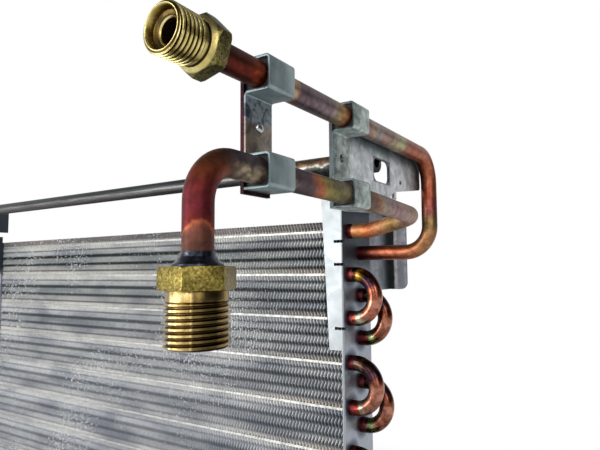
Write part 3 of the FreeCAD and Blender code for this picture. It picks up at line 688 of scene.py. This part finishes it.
def turned_brass(name, axis, middle, hex_start, hex_end, hex_tones, thread_tones, ring_light_and_shade, flank_shading=()):
    """Turned brass: cut threads that catch the light, and a hexagon dulled and pitted by the torch.

    The rings are colours at radii in millimetres, which paint highlights on crests and rims and shade in the
    roots and the mouth; the flank colours paint light and shade across the thread.
    """
    material, shader, place = new_finish(name, metallic=1.0, roughness=0.24)
    nut, wear = mottle(material, place, 1 * MM, list(zip((0.3, 0.5, 0.68), hex_tones)), detail=7.0)
    thread, _ = mottle(material, place, 6 * MM, list(zip((0.3, 0.5, 0.7), thread_tones)), detail=4.0)
    share = fade_along(material, place, axis, hex_start, hex_end)
    flat = add_node(material, "ShaderNodeVectorMath", {
        0: place, 1: tuple(0.0 if letter == axis else 1.0 for letter in "XYZ")}, operation="MULTIPLY")
    out = add_node(material, "ShaderNodeVectorMath", {0: flat.outputs["Vector"], 1: middle},
                   operation="DISTANCE")
    reach = add_node(material, "ShaderNodeMapRange", {"Value": out.outputs["Value"], "From Max": 10 * MM})
    # Rings of painted light by radius: painted highlights on crests and rims, painted shade in the roots and
    # the mouth
    rings = add_node(material, "ShaderNodeValToRGB", {"Fac": reach.outputs["Result"]},
                     [(radius / 10, colour) for radius, colour in ring_light_and_shade])
    thread = coated(material, thread, (1.0, rings.outputs["Color"], STAIN))
    # Painted light and shade across the thread, in streaks along it
    if flank_shading:
        along_x, along_y = 0.853, 0.521
        across = add_node(material, "ShaderNodeVectorMath", {0: place, 1: (along_x, along_y, 0.0)},
                          operation="DOT_PRODUCT")
        zero = along_x * middle[0] + along_y * middle[1]
        flank = add_node(material, "ShaderNodeMapRange", {
            "Value": across.outputs["Value"],
            "From Min": zero - LOWER_CREST_R, "From Max": zero + LOWER_CREST_R})
        painted_shading = add_node(material, "ShaderNodeValToRGB", {"Fac": flank.outputs["Result"]}, flank_shading)
        thread = coated(material, thread, (1.0, painted_shading.outputs["Color"], STAIN))
    pitted = dusted(material, place, nut, 0.6 * MM, "#6E6638", 0.6)
    rough = add_node(material, "ShaderNodeMix", {0: share, 2: 0.27, 3: 0.36}, data_type="FLOAT")
    bump = add_node(material, "ShaderNodeBump", {"Height": wear, "Strength": 0.25, "Distance": 0.3 * MM})
    feed(material, shader, Base_Color=coated(material, thread, (share, pitted, COVER)),
         Roughness=rough.outputs[0], Normal=bump.outputs["Normal"])
    return material


def upper_fitting_brass():
    """The upper fitting: a dull olive hexagon, a paler thread, and rings of painted highlight and painted
    shade at its mouth and on its thread.
    """
    return turned_brass(
        "upper_fitting_turned_brass", "Y", (PIPE_X, 0.0, UPPER_Z), hex_start=-190.6 * MM, hex_end=-190.2 * MM,
        hex_tones=("#565030", "#787044", "#968C56"), thread_tones=("#9A8856", "#C6B674", "#E8DCA4"),
        ring_light_and_shade=[
            (3.9, "#B0A498"), (4.15, "#FFFFFF"), (4.35, "#FFFFFF"), (4.5, "#5E5448"), (5.8, "#6A5E50"),
            (6.2, "#C0B4A0"), (6.5, "#FFFFFF"), (6.8, "#FFFFFF"), (7.0, "#2E2624"), (7.35, "#4A403C"),
            (7.65, "#FFFFFF")])


def lower_fitting_brass():
    """The lower fitting: an olive hexagon, and a pale thread with painted highlights on its crests and
    streaks of painted light and shade along it.
    """
    return turned_brass(
        "lower_fitting_turned_brass", "Z", (PIPE_X, ELBOW_Y, 0.0), hex_start=296.8 * MM, hex_end=297.0 * MM,
        hex_tones=("#64582A", "#7E7038", "#9A8C4C"), thread_tones=("#B4A078", "#D2C296", "#F0E6C0"),
        ring_light_and_shade=[(8.5, "#8E7A66"), (8.9, "#C0B09A"), (9.15, "#FFFFFF")],
        flank_shading=[
            (0.0, "#A8A088"), (0.16, "#C8C0A4"), (0.19, "#FFFFFF"), (0.23, "#BCB090"), (0.3, "#D0C4A0"),
            (0.38, "#FFF8E0"), (0.44, "#CCC09C"), (0.5, "#B8AA8C"), (0.525, "#EEE6D0"), (0.56, "#94866A"),
            (0.7, "#665C48"), (0.86, "#5C5444"), (0.92, "#A89C80"), (1.0, "#C0B490")])


def dark_braze_metal():
    """Silver braze under burnt flux: a blue-black glassy fillet with paler rubs."""
    material, shader, place = new_finish("braze_fillet_burnt_flux", metallic=1.0, roughness=0.32)
    tone, _ = mottle(material, place, 2.5 * MM, [(0.35, "#1A1E28"), (0.62, "#464A56"), (0.75, "#8C8A8A")])
    feed(material, shader, Base_Color=tone)
    return material


def moulded_rubber():
    """Moulded black rubber: dull, with a fine dusty grain."""
    material, shader, place = new_finish("cushion_moulded_rubber", metallic=0.0, roughness=0.75)
    tone, _ = mottle(material, place, 1.5 * MM, [(0.3, "#0C0C0D"), (0.7, "#1E1D1D")])
    feed(material, shader, Base_Color=tone)
    return material


def plated_rivet_steel():
    """Zinc-plated rivet, upset by the set: bright, with light rubbing."""
    material, shader, place = new_finish("rivet_plated_steel", metallic=1.0, roughness=0.16)
    tone, _ = mottle(material, place, 1.5 * MM, [(0.3, "#8E9092"), (0.7, "#C8CACC")])
    feed(material, shader, Base_Color=tone)
    return material


# Modelling

def pick(test, edges=False):
    """Selects, in edit mode, the points that pass a test of their place, or the edges by their middle."""
    bpy.ops.mesh.select_mode(type="EDGE" if edges else "VERT")
    bpy.ops.mesh.select_all(action="DESELECT")
    mesh = bmesh.from_edit_mesh(bpy.context.object.data)
    for item in mesh.edges if edges else mesh.verts:
        middle = (item.verts[0].co + item.verts[1].co) / 2 if edges else item.co
        if test(middle):
            item.select_set(True)
    mesh.select_flush_mode()
    bmesh.update_edit_mesh(bpy.context.object.data)


def slice_at(place, facing, clear=False):
    """Cuts all of a mesh, in edit mode, by a plane, and clears what lies behind it if asked to."""
    bpy.ops.mesh.select_all(action="SELECT")
    bpy.ops.mesh.bisect(plane_co=place, plane_no=facing, clear_inner=clear)


def apply_modifier(piece, kind, **settings):
    """Gives a piece a modifier with its settings and makes its result the piece's mesh."""
    bpy.context.view_layer.objects.active = piece
    modifier = piece.modifiers.new(kind.title(), kind)
    for name, value in settings.items():
        setattr(modifier, name, value)
    bpy.ops.object.modifier_apply(modifier=modifier.name)


def repeat(piece, count, step, merge=False):
    """Repeats a piece at even steps, and merges the points where its copies meet if asked to."""
    apply_modifier(piece, "ARRAY", count=count, use_relative_offset=False, use_constant_offset=True,
                   constant_offset_displace=step, use_merge_vertices=merge, merge_threshold=ROW_MERGE)


def soften(piece, width, least_degrees):
    """Rounds the edges where the surface turns by more than the given angle."""
    apply_modifier(piece, "BEVEL", width=width, segments=2, limit_method="ANGLE",
                   angle_limit=math.radians(least_degrees))


def trim(piece, tool, operation):
    """Cuts a piece by a tool piece, which is then removed."""
    apply_modifier(piece, "BOOLEAN", operation=operation, object=tool, solver="EXACT")
    bpy.data.objects.remove(tool)


def settle(piece):
    """Puts a piece's place into its mesh, so that its object sits at the origin."""
    bpy.ops.object.select_all(action="DESELECT")
    piece.select_set(True)
    bpy.context.view_layer.objects.active = piece
    bpy.ops.object.transform_apply(location=True, rotation=True, scale=True)


def join(main_piece, *others):
    """Makes several pieces one mesh."""
    bpy.ops.object.select_all(action="DESELECT")
    for piece in others:
        piece.select_set(True)
    main_piece.select_set(True)
    bpy.context.view_layer.objects.active = main_piece
    bpy.ops.object.join()
    return main_piece


def dress(piece, name, material, node):
    """Names a finished piece, gives it its finish, and ties it to the object."""
    piece.name = name
    piece.data.name = name
    piece.data.materials.clear()
    piece.data.materials.append(material)
    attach(piece, "root")
    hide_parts(node)


def make_fins():
    """One ripple of sheet is repeated up the core and along it, then given its thickness."""
    ripple = TUBE_PITCH / RIPPLES_PER_TUBE
    start_z = (FIRST_FRONT_Z - ripple / 4) % ripple - ripple
    start_x = -CORE_END + (FIN_PITCH - RIPPLE_DEPTH) / 2
    bpy.ops.mesh.primitive_grid_add(x_subdivisions=1, y_subdivisions=2, size=1,
                                    location=(start_x, 0, start_z + ripple / 2),
                                    rotation=(math.pi / 2, 0, math.pi / 2))
    fins = bpy.context.object
    fins.scale = (CORE_DEPTH, ripple, 1)
    settle(fins)
    bpy.ops.object.mode_set(mode="EDIT")
    pick(lambda p: abs(p.z - start_z - ripple / 2) < NEAR)
    bpy.ops.transform.translate(value=(RIPPLE_DEPTH, 0, 0))
    bpy.ops.object.mode_set(mode="OBJECT")
    repeat(fins, TUBES_PER_ROW * RIPPLES_PER_TUBE + 1, (0, 0, ripple), merge=True)
    bpy.ops.object.mode_set(mode="EDIT")
    for height, up in ((FIN_FOOT, 1), (CORE_HEIGHT, -1)):
        slice_at((0, 0, height), (0, 0, up), clear=True)
    bpy.ops.object.mode_set(mode="OBJECT")
    repeat(fins, FIN_COUNT, (FIN_PITCH, 0, 0))
    apply_modifier(fins, "SOLIDIFY", thickness=FIN_THICKNESS, offset=0)
    return fins


def make_collars(y, first_z, sides):
    """One collar, flared at its root, is repeated along a tube and up the row."""
    bpy.ops.mesh.primitive_cylinder_add(vertices=sides, radius=COLLAR_ROOT_R, depth=FIN_PITCH,
                                        end_fill_type="NOTHING", rotation=(0, math.pi / 2, 0),
                                        location=(-CORE_END + FIN_PITCH / 2, y, first_z))
    collars = bpy.context.object
    settle(collars)
    bpy.ops.object.mode_set(mode="EDIT")
    for waist in COLLAR_WAISTS:
        slice_at((-CORE_END + waist, 0, 0), (1, 0, 0))
    pick(lambda p: NEAR < p.x + CORE_END < FIN_PITCH - NEAR)
    bpy.ops.transform.resize(value=(1, COLLAR_R / COLLAR_ROOT_R, COLLAR_R / COLLAR_ROOT_R),
                             center_override=(0, y, first_z))
    bpy.ops.object.mode_set(mode="OBJECT")
    repeat(collars, FIN_COUNT, (FIN_PITCH, 0, 0), merge=True)
    bpy.ops.object.mode_set(mode="EDIT")
    bpy.ops.mesh.select_mode(type="VERT")
    bpy.ops.mesh.select_all(action="DESELECT")
    bpy.ops.mesh.select_non_manifold()
    bpy.ops.mesh.edge_face_add()
    bpy.ops.object.mode_set(mode="OBJECT")
    repeat(collars, TUBES_PER_ROW, (0, 0, -TUBE_PITCH))
    bpy.ops.object.shade_smooth()
    return collars


def make_highlight_bars():
    """One pale bar along each front tube, just behind the fins' front edges, which paints the bright
    highlight line along it.
    """
    y = CORE_FRONT + HIGHLIGHT_BAR_SETBACK + HIGHLIGHT_BAR_DEPTH / 2
    bpy.ops.mesh.primitive_cube_add(size=1, location=(0, y, FIRST_FRONT_Z))
    bars = bpy.context.object
    bars.scale = (2 * (CORE_END - HIGHLIGHT_BAR_END_GAP), HIGHLIGHT_BAR_DEPTH, HIGHLIGHT_BAR_HEIGHT)
    settle(bars)
    repeat(bars, TUBES_PER_ROW, (0, 0, -TUBE_PITCH))
    soften(bars, 0.3 * MM, 30)
    return bars


def turned_piece(stations_mm):
    """A ring drawn out along Z from station to station, each a height and a radius in mm, and closed."""
    stations = [(height_mm * MM, radius_mm * MM) for height_mm, radius_mm in stations_mm]
    height, radius = stations[0]
    bpy.ops.mesh.primitive_circle_add(vertices=TURNED_SIDES, radius=radius, location=(0, 0, height))
    piece = bpy.context.object
    settle(piece)
    bpy.ops.object.mode_set(mode="EDIT")
    bpy.ops.mesh.select_all(action="SELECT")
    for next_height, next_radius in stations[1:] + stations[:1]:
        bpy.ops.mesh.extrude_region_move(TRANSFORM_OT_translate={"value": (0, 0, next_height - height)})
        bpy.ops.transform.resize(value=(next_radius / radius, next_radius / radius, 1),
                                 center_override=(0, 0, next_height))
        height, radius = next_height, next_radius
    bpy.ops.mesh.select_all(action="SELECT")
    bpy.ops.mesh.remove_doubles(threshold=WELD)
    bpy.ops.mesh.normals_make_consistent(inside=False)
    bpy.ops.object.mode_set(mode="OBJECT")
    return piece


def plug(start, end, start_r, end_r, radius, slope=CHAMFER_SLOPE):
    """A solid bar with a cone at each end, which trims or drills another piece."""
    bpy.ops.mesh.primitive_cylinder_add(vertices=TURNED_SIDES, radius=radius, depth=end - start,
                                        location=(0, 0, (start + end) / 2))
    bar = bpy.context.object
    settle(bar)
    bpy.ops.object.mode_set(mode="EDIT")
    for cut in (start + (radius - start_r) * slope, end - (radius - end_r) * slope):
        slice_at((0, 0, cut), (0, 0, 1))
    for height, tip_r in ((start, start_r), (end, end_r)):
        pick(lambda p: abs(p.z - height) < NEAR)
        bpy.ops.transform.resize(value=(tip_r / radius, tip_r / radius, 1), center_override=(0, 0, height))
    bpy.ops.object.mode_set(mode="OBJECT")
    return bar


def thread_ridge(root, crest, pitch, start, end, crest_share):
    """One tooth is wound into a helix that runs past both ends of the thread, where it is trimmed later."""
    bpy.ops.mesh.primitive_plane_add(size=1, location=((root + crest) / 2, 0, start - pitch),
                                     rotation=(math.pi / 2, 0, 0))
    ridge = bpy.context.object
    ridge.scale = (crest - root + 2 * TOOTH_SINK, pitch * TOOTH_FOOT_SHARE, 1)
    settle(ridge)
    bpy.ops.object.mode_set(mode="EDIT")
    pick(lambda p: p.x > (root + crest) / 2)
    bpy.ops.transform.resize(value=(1, 1, crest_share), center_override=(crest, 0, start - pitch))
    bpy.ops.transform.translate(value=(-TOOTH_SINK, 0, 0))
    bpy.ops.mesh.select_all(action="SELECT")
    bpy.ops.mesh.delete(type="ONLY_FACE")
    bpy.ops.object.mode_set(mode="OBJECT")
    turns = int((end - start) / pitch) + 3
    apply_modifier(ridge, "SCREW", angle=2 * math.pi, screw_offset=pitch, iterations=turns,
                   steps=THREAD_STEPS, render_steps=THREAD_STEPS, use_merge_vertices=False)
    bpy.ops.object.mode_set(mode="EDIT")
    bpy.ops.mesh.select_all(action="SELECT")
    bpy.ops.mesh.fill_holes(sides=4)
    bpy.ops.mesh.select_all(action="SELECT")
    bpy.ops.mesh.normals_make_consistent(inside=False)
    bpy.ops.object.mode_set(mode="OBJECT")
    return ridge


def hexagon(start, end, across_flats, turn, start_chamfer, end_chamfer, bore, slope=CHAMFER_SLOPE):
    """A hexagonal bar with its corners chamfered at both ends, its edges softened, and a bore."""
    corner = across_flats / math.sqrt(3)
    bpy.ops.mesh.primitive_cylinder_add(vertices=6, radius=corner, depth=end - start,
                                        location=(0, 0, (start + end) / 2),
                                        rotation=(0, 0, math.radians(turn)))
    nut = bpy.context.object
    settle(nut)
    trim(nut, plug(start, end, corner - start_chamfer, corner - end_chamfer, corner + CLEAR, slope),
         "INTERSECT")
    trim(nut, plug(start - MM, end + MM, bore, bore, bore + LEAST_STEP), "DIFFERENCE")
    soften(nut, 0.12 * MM, 25)
    return nut


def place_along(piece, matrix):
    """Turns and moves a piece made along Z to its place on the object."""
    piece.matrix_world = matrix
    settle(piece)
    bpy.ops.object.shade_smooth_by_angle(angle=math.radians(32))


def make_upper_fitting():
    """Threaded end, groove and hexagon, made from its mouth at height 0 and then laid along Y."""
    root_mm = 6.95
    root, crest, end = root_mm * MM, UPPER_CREST_R, 10.4 * MM
    body = turned_piece([
        (0.0, 6.65), (0.0, 6.9), (0.35, root_mm), (10.8, root_mm), (11.1, 6.8), (11.9, 6.9), (12.45, 7.3),
        (12.5, 7.3), (12.5, 4.0), (3.7, 4.0), (3.4, 4.25), (2.9, 4.9), (2.8, 5.3), (2.5, 5.85), (0.5, 6.25)])
    ridge = thread_ridge(root, crest, UPPER_THREAD_PITCH, 0.0, end, crest_share=0.42)
    trim(ridge, plug(CLEAR, end, root - 0.1 * MM, crest - 0.1 * MM, crest), "INTERSECT")
    nut = hexagon(12.4 * MM, 19.0 * MM, across_flats=17.5 * MM, turn=16, start_chamfer=2.6 * MM,
                  end_chamfer=0.6 * MM, bore=4.0 * MM, slope=0.95)
    fitting = join(body, ridge, nut)
    laid = Matrix.Rotation(-math.pi / 2, 4, "X")
    place_along(fitting, Matrix.Translation((PIPE_X, UPPER_MOUTH_Y, UPPER_Z)) @ laid)
    return fitting


def make_lower_fitting():
    """Hexagon, collar and thread, made from the hexagon's top at height 0 and then hung along Z."""
    root_mm, start_mm, end_mm = 8.55, 10.2, 23.4
    root, crest, start, end = root_mm * MM, LOWER_CREST_R, start_mm * MM, end_mm * MM
    body = turned_piece([
        (6.7, 3.8), (6.7, 9.0), (6.9, 9.1), (9.9, 9.1), (start_mm, 8.9), (start_mm, root_mm),
        (end_mm - 0.4, root_mm), (end_mm, root_mm - 0.2), (end_mm, 7.5), (end_mm - 0.3, 7.3),
        (end_mm - 5.0, 7.3), (end_mm - 6.0, 3.8)])
    ridge = thread_ridge(root, crest, LOWER_THREAD_PITCH, start, end, crest_share=0.4)
    trim(ridge, plug(start, end - CLEAR, crest - 0.5 * MM, root - 0.1 * MM, crest), "INTERSECT")
    nut = hexagon(0.0, 6.8 * MM, across_flats=19.8 * MM, turn=36, start_chamfer=0.7 * MM,
                  end_chamfer=0.7 * MM, bore=4.8 * MM)
    fitting = join(body, ridge, nut)
    hung = Matrix.Rotation(math.pi, 4, "X")
    place_along(fitting, Matrix.Translation((PIPE_X, ELBOW_Y, LOWER_HEX_TOP)) @ hung)
    return fitting


def folded_strip(y, hole_r):
    """An edge is drawn out round both hats, its folds are rounded, and the sheet is thickened."""
    reach = HAT_HALF + STRIP_T / 2
    outer_x = SEAT_X + HAT_HALF + reach
    web_x = SEAT_X + STRIP_T / 2
    low_z = lower_run_z(y)
    stations = [(SEAT_X, UPPER_Z + reach), (outer_x, UPPER_Z + reach), (outer_x, UPPER_Z - reach),
                (web_x, UPPER_Z - reach), (web_x, low_z + reach), (outer_x, low_z + reach),
                (outer_x, low_z - reach), (SEAT_X, low_z - reach)]
    bpy.ops.mesh.primitive_plane_add(size=STRIP_WIDTH, location=(SEAT_X, y, stations[0][1]))
    strip = bpy.context.object
    settle(strip)
    bpy.ops.object.mode_set(mode="EDIT")
    pick(lambda p: p.x > SEAT_X)
    bpy.ops.mesh.delete(type="VERT")
    bpy.ops.mesh.select_all(action="SELECT")
    bpy.ops.transform.translate(value=(STRIP_WIDTH / 2, 0, 0))
    for (x0, z0), (x1, z1) in zip(stations, stations[1:]):
        bpy.ops.mesh.extrude_region_move(TRANSFORM_OT_translate={"value": (x1 - x0, 0, z1 - z0)})
    folds = [Vector((x, y, z)) for x, z in stations[1:-1]]
    pick(lambda p: any((p - fold).length < NEAR for fold in folds), edges=True)
    bpy.ops.mesh.bevel(offset=STRIP_FOLD_R, segments=6, affect="EDGES")
    bpy.ops.mesh.select_all(action="SELECT")
    bpy.ops.mesh.normals_make_consistent(inside=False)
    bpy.ops.object.mode_set(mode="OBJECT")
    apply_modifier(strip, "SOLIDIFY", thickness=STRIP_T, offset=0, use_even_offset=True)
    if hole_r:
        bpy.ops.mesh.primitive_cylinder_add(vertices=32, radius=hole_r, depth=4 * MM,
                                            location=(web_x, y, clamp_hole_z(y)),
                                            rotation=(0, math.pi / 2, 0))
        hole = bpy.context.object
        settle(hole)
        trim(strip, hole, "DIFFERENCE")
    soften(strip, 0.22 * MM, 50)
    settle(strip)
    bpy.ops.object.shade_smooth_by_angle(angle=math.radians(35))
    return strip


def make_rivet():
    """A domed head over the strip, its shank, and the flatter head behind the back plate."""
    z = clamp_hole_z(FRONT_CLAMP_Y)
    face_x = SEAT_X + STRIP_T
    back_x = SEAT_X - BACK_PLATE_T
    heads = []
    for x, radius, rise in ((face_x, RIVET_HEAD_R, RIVET_HEAD_RISE), (back_x, RIVET_TAIL_R, RIVET_TAIL_RISE)):
        bpy.ops.mesh.primitive_uv_sphere_add(segments=32, ring_count=16, radius=radius,
                                             location=(x, FRONT_CLAMP_Y, z))
        head = bpy.context.object
        head.scale = (rise / radius, 1, 1)
        settle(head)
        heads.append(head)
    bpy.ops.mesh.primitive_cylinder_add(vertices=32, radius=RIVET_R, depth=face_x - back_x,
                                        location=((face_x + back_x) / 2, FRONT_CLAMP_Y, z),
                                        rotation=(0, math.pi / 2, 0))
    shank = bpy.context.object
    settle(shank)
    rivet = join(shank, *heads)
    bpy.ops.object.shade_smooth_by_angle(angle=math.radians(32))
    return rivet


# Stage

def make_floor():
    """A pale floor that keeps the object's shadow nearby and runs out to plain white."""
    bpy.ops.mesh.primitive_plane_add(size=FLOOR_SIZE)
    floor = bpy.context.object
    floor.name = "floor"
    material, shader, place = new_finish("floor_pale_paper", metallic=0.0, roughness=0.9)
    shader.inputs["Base Color"].default_value = linear("#EDEDEC")
    far = add_node(material, "ShaderNodeVectorMath", {0: place}, operation="LENGTH")
    fade = add_node(material, "ShaderNodeMapRange", {
        "Value": far.outputs["Value"], "From Min": SHADE_NEAR, "From Max": SHADE_FAR},
        interpolation_type="SMOOTHSTEP")
    rays = add_node(material, "ShaderNodeLightPath").outputs
    seen = 0.0
    for kind in ("Is Camera Ray", "Is Glossy Ray", "Is Transmission Ray"):
        either = add_node(material, "ShaderNodeMath", {0: rays[kind], 1: seen}, operation="MAXIMUM")
        seen = either.outputs["Value"]
    glow = add_node(material, "ShaderNodeEmission", {"Color": linear("#FFFFFF"), "Strength": 1.0})
    both = add_node(material, "ShaderNodeMixShader", {
        0: overlap(material, seen, fade.outputs["Result"]), 1: shader.outputs["BSDF"],
        2: glow.outputs["Emission"]})
    surface = material.node_tree.nodes["Material Output"].inputs["Surface"]
    material.node_tree.links.new(both.outputs["Shader"], surface)
    floor.data.materials.append(material)


def make_surroundings():
    """A white studio that metal sees dimmed overhead and by a dark card to the right of the pipes."""
    world = bpy.data.worlds.new("studio")
    bpy.context.scene.world = world
    world.use_nodes = True
    background = world.node_tree.nodes["Background"]
    place = add_node(world, "ShaderNodeTexCoord").outputs["Generated"]
    parts = add_node(world, "ShaderNodeSeparateXYZ", {"Vector": place})
    height = add_node(world, "ShaderNodeMapRange", {
        "Value": parts.outputs["Z"], "From Min": 0.35, "From Max": 0.85, "To Min": 1.0, "To Max": 0.12},
        interpolation_type="SMOOTHSTEP")
    side = add_node(world, "ShaderNodeVectorMath", {0: place, 1: CARD_DIRECTION}, operation="DOT_PRODUCT")
    card = add_node(world, "ShaderNodeMapRange", {
        "Value": side.outputs["Value"], "From Min": 0.58, "From Max": 0.84, "To Min": 1.0, "To Max": 0.1},
        interpolation_type="SMOOTHSTEP")
    shaded = overlap(world, height.outputs["Result"], card.outputs["Result"])
    rays = add_node(world, "ShaderNodeLightPath").outputs
    glossy = add_node(world, "ShaderNodeMix", {0: rays["Is Glossy Ray"], 2: 0.55, 3: shaded},
                      data_type="FLOAT")
    seen = add_node(world, "ShaderNodeMath", {0: rays["Is Camera Ray"], 1: rays["Is Transmission Ray"]},
                    operation="MAXIMUM")
    level = add_node(world, "ShaderNodeMix", {0: seen.outputs["Value"], 2: glossy.outputs[0], 3: 1.0},
                     data_type="FLOAT")
    world.node_tree.links.new(level.outputs[0], background.inputs["Strength"])
    background.inputs["Color"].default_value = linear("#FFFFFF")


def add_lamp(name, place, aim, size, power):
    """A rectangular lamp that faces its aim."""
    bpy.ops.object.light_add(type="AREA", location=place)
    lamp = bpy.context.object
    lamp.name = name
    lamp.data.shape = "RECTANGLE"
    lamp.data.size, lamp.data.size_y = size
    lamp.data.energy = power
    lamp.rotation_euler = (Vector(aim) - Vector(place)).to_track_quat("-Z", "Y").to_euler()


def add_camera():
    """The photograph's view: from the right of the pipes, a little below them, looking slightly up."""
    turn = (Matrix.Rotation(math.radians(CAMERA_HEADING), 4, "Z")
            @ Matrix.Rotation(math.radians(90 + CAMERA_TILT), 4, "X")
            @ Matrix.Rotation(math.radians(CAMERA_ROLL), 4, "Z"))
    bpy.ops.object.camera_add(location=CAMERA_PLACE, rotation=turn.to_euler())
    camera = bpy.context.object
    camera.data.sensor_width = SENSOR_WIDTH
    camera.data.lens = LENS
    camera.data.shift_x, camera.data.shift_y = SHIFT
    camera.data.clip_start = CLIP_START
    bpy.context.scene.camera = camera


# Assembly

def finish_solids(nodes):
    """Gives each solid that is shown as it was packed its finish, by its name or its family's."""
    sheet = end_plate_sheet()
    front_bend = brazed_bend_copper("front_bend_brazed_copper", FIRST_FRONT_Z,
                                    "#3A2A26", "#6A5044", "#9A6450", "#A89A8C")
    families = {
        "braze_ring": dark_braze_metal(),
        "cushion": moulded_rubber(),
        "hairpin": oxidised_tube_copper(),
        "end_plate": sheet,
        "crossover_bend": front_bend,
        "front_return_bend": front_bend,
        "front_return_bend_1": brazed_bend_copper("first_bend_brazed_copper", FIRST_FRONT_Z,
                                                  "#3A2C1E", "#B98E3A", "#A4624A", "#B9B5A0"),
        "rear_return_bend": brazed_bend_copper("rear_bend_brazed_copper", FIRST_REAR_Z,
                                               "#2A211E", "#4A3828", "#8E5640", "#98B870"),
        "rear_bracket": rear_bracket_sheet(),
        "arm_bracket": arm_plate_sheet(),
        "front_clamp_back_plate": back_plate_sheet(),
        "upper_pipe": upper_pipe_copper(),
        "lower_pipe": lower_pipe_copper(),
        "brace_rod": drawn_steel_rod(),
        "rod_sleeve": heated_sleeve_steel(),
    }
    for family, finish in families.items():
        for name, solid in nodes.items():
            if family in name:
                for slot in solid.material_slots:
                    slot.material = finish


def make_core():
    """Fins, and the collars that hold them on the tubes, which have fewer sides at the back."""
    dress(make_fins(), "fins", rolled_fin_aluminium(), "fin_pack")
    dress(make_collars(FRONT_Y, FIRST_FRONT_Z, sides=12), "front_collars",
          drawn_collar_aluminium("front_collars_drawn_aluminium", FIRST_FRONT_Z), "fin_pack")
    dress(make_highlight_bars(), "front_tube_highlight_bars", highlight_bar_aluminium(), "fin_pack")
    dress(make_collars(REAR_Y, FIRST_REAR_Z, sides=8), "rear_collars",
          drawn_collar_aluminium("rear_collars_drawn_aluminium", FIRST_REAR_Z), "fin_pack")


def main():
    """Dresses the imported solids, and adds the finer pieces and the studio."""
    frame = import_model()
    finish_solids(frame["nodes"])
    make_core()
    dress(make_upper_fitting(), "upper_fitting_threaded", upper_fitting_brass(),
          "upper_fitting")
    dress(make_lower_fitting(), "lower_fitting_threaded", lower_fitting_brass(),
          "lower_fitting")
    dress(folded_strip(FRONT_CLAMP_Y, 0), "front_clamp_folded_strip", front_clamp_sheet(),
          "front_clamp_strip")
    dress(folded_strip(REAR_CLAMP_Y, STRIP_HOLE_R), "rear_clamp_folded_strip", rear_clamp_sheet(),
          "rear_clamp_strip")
    dress(make_rivet(), "clamp_domed_rivet", plated_rivet_steel(), "clamp_rivet")

    make_floor()
    make_surroundings()
    for lamp in LAMPS:
        add_lamp(*lamp)
    add_camera()
    bpy.context.scene.view_settings.view_transform = "Standard"


main()
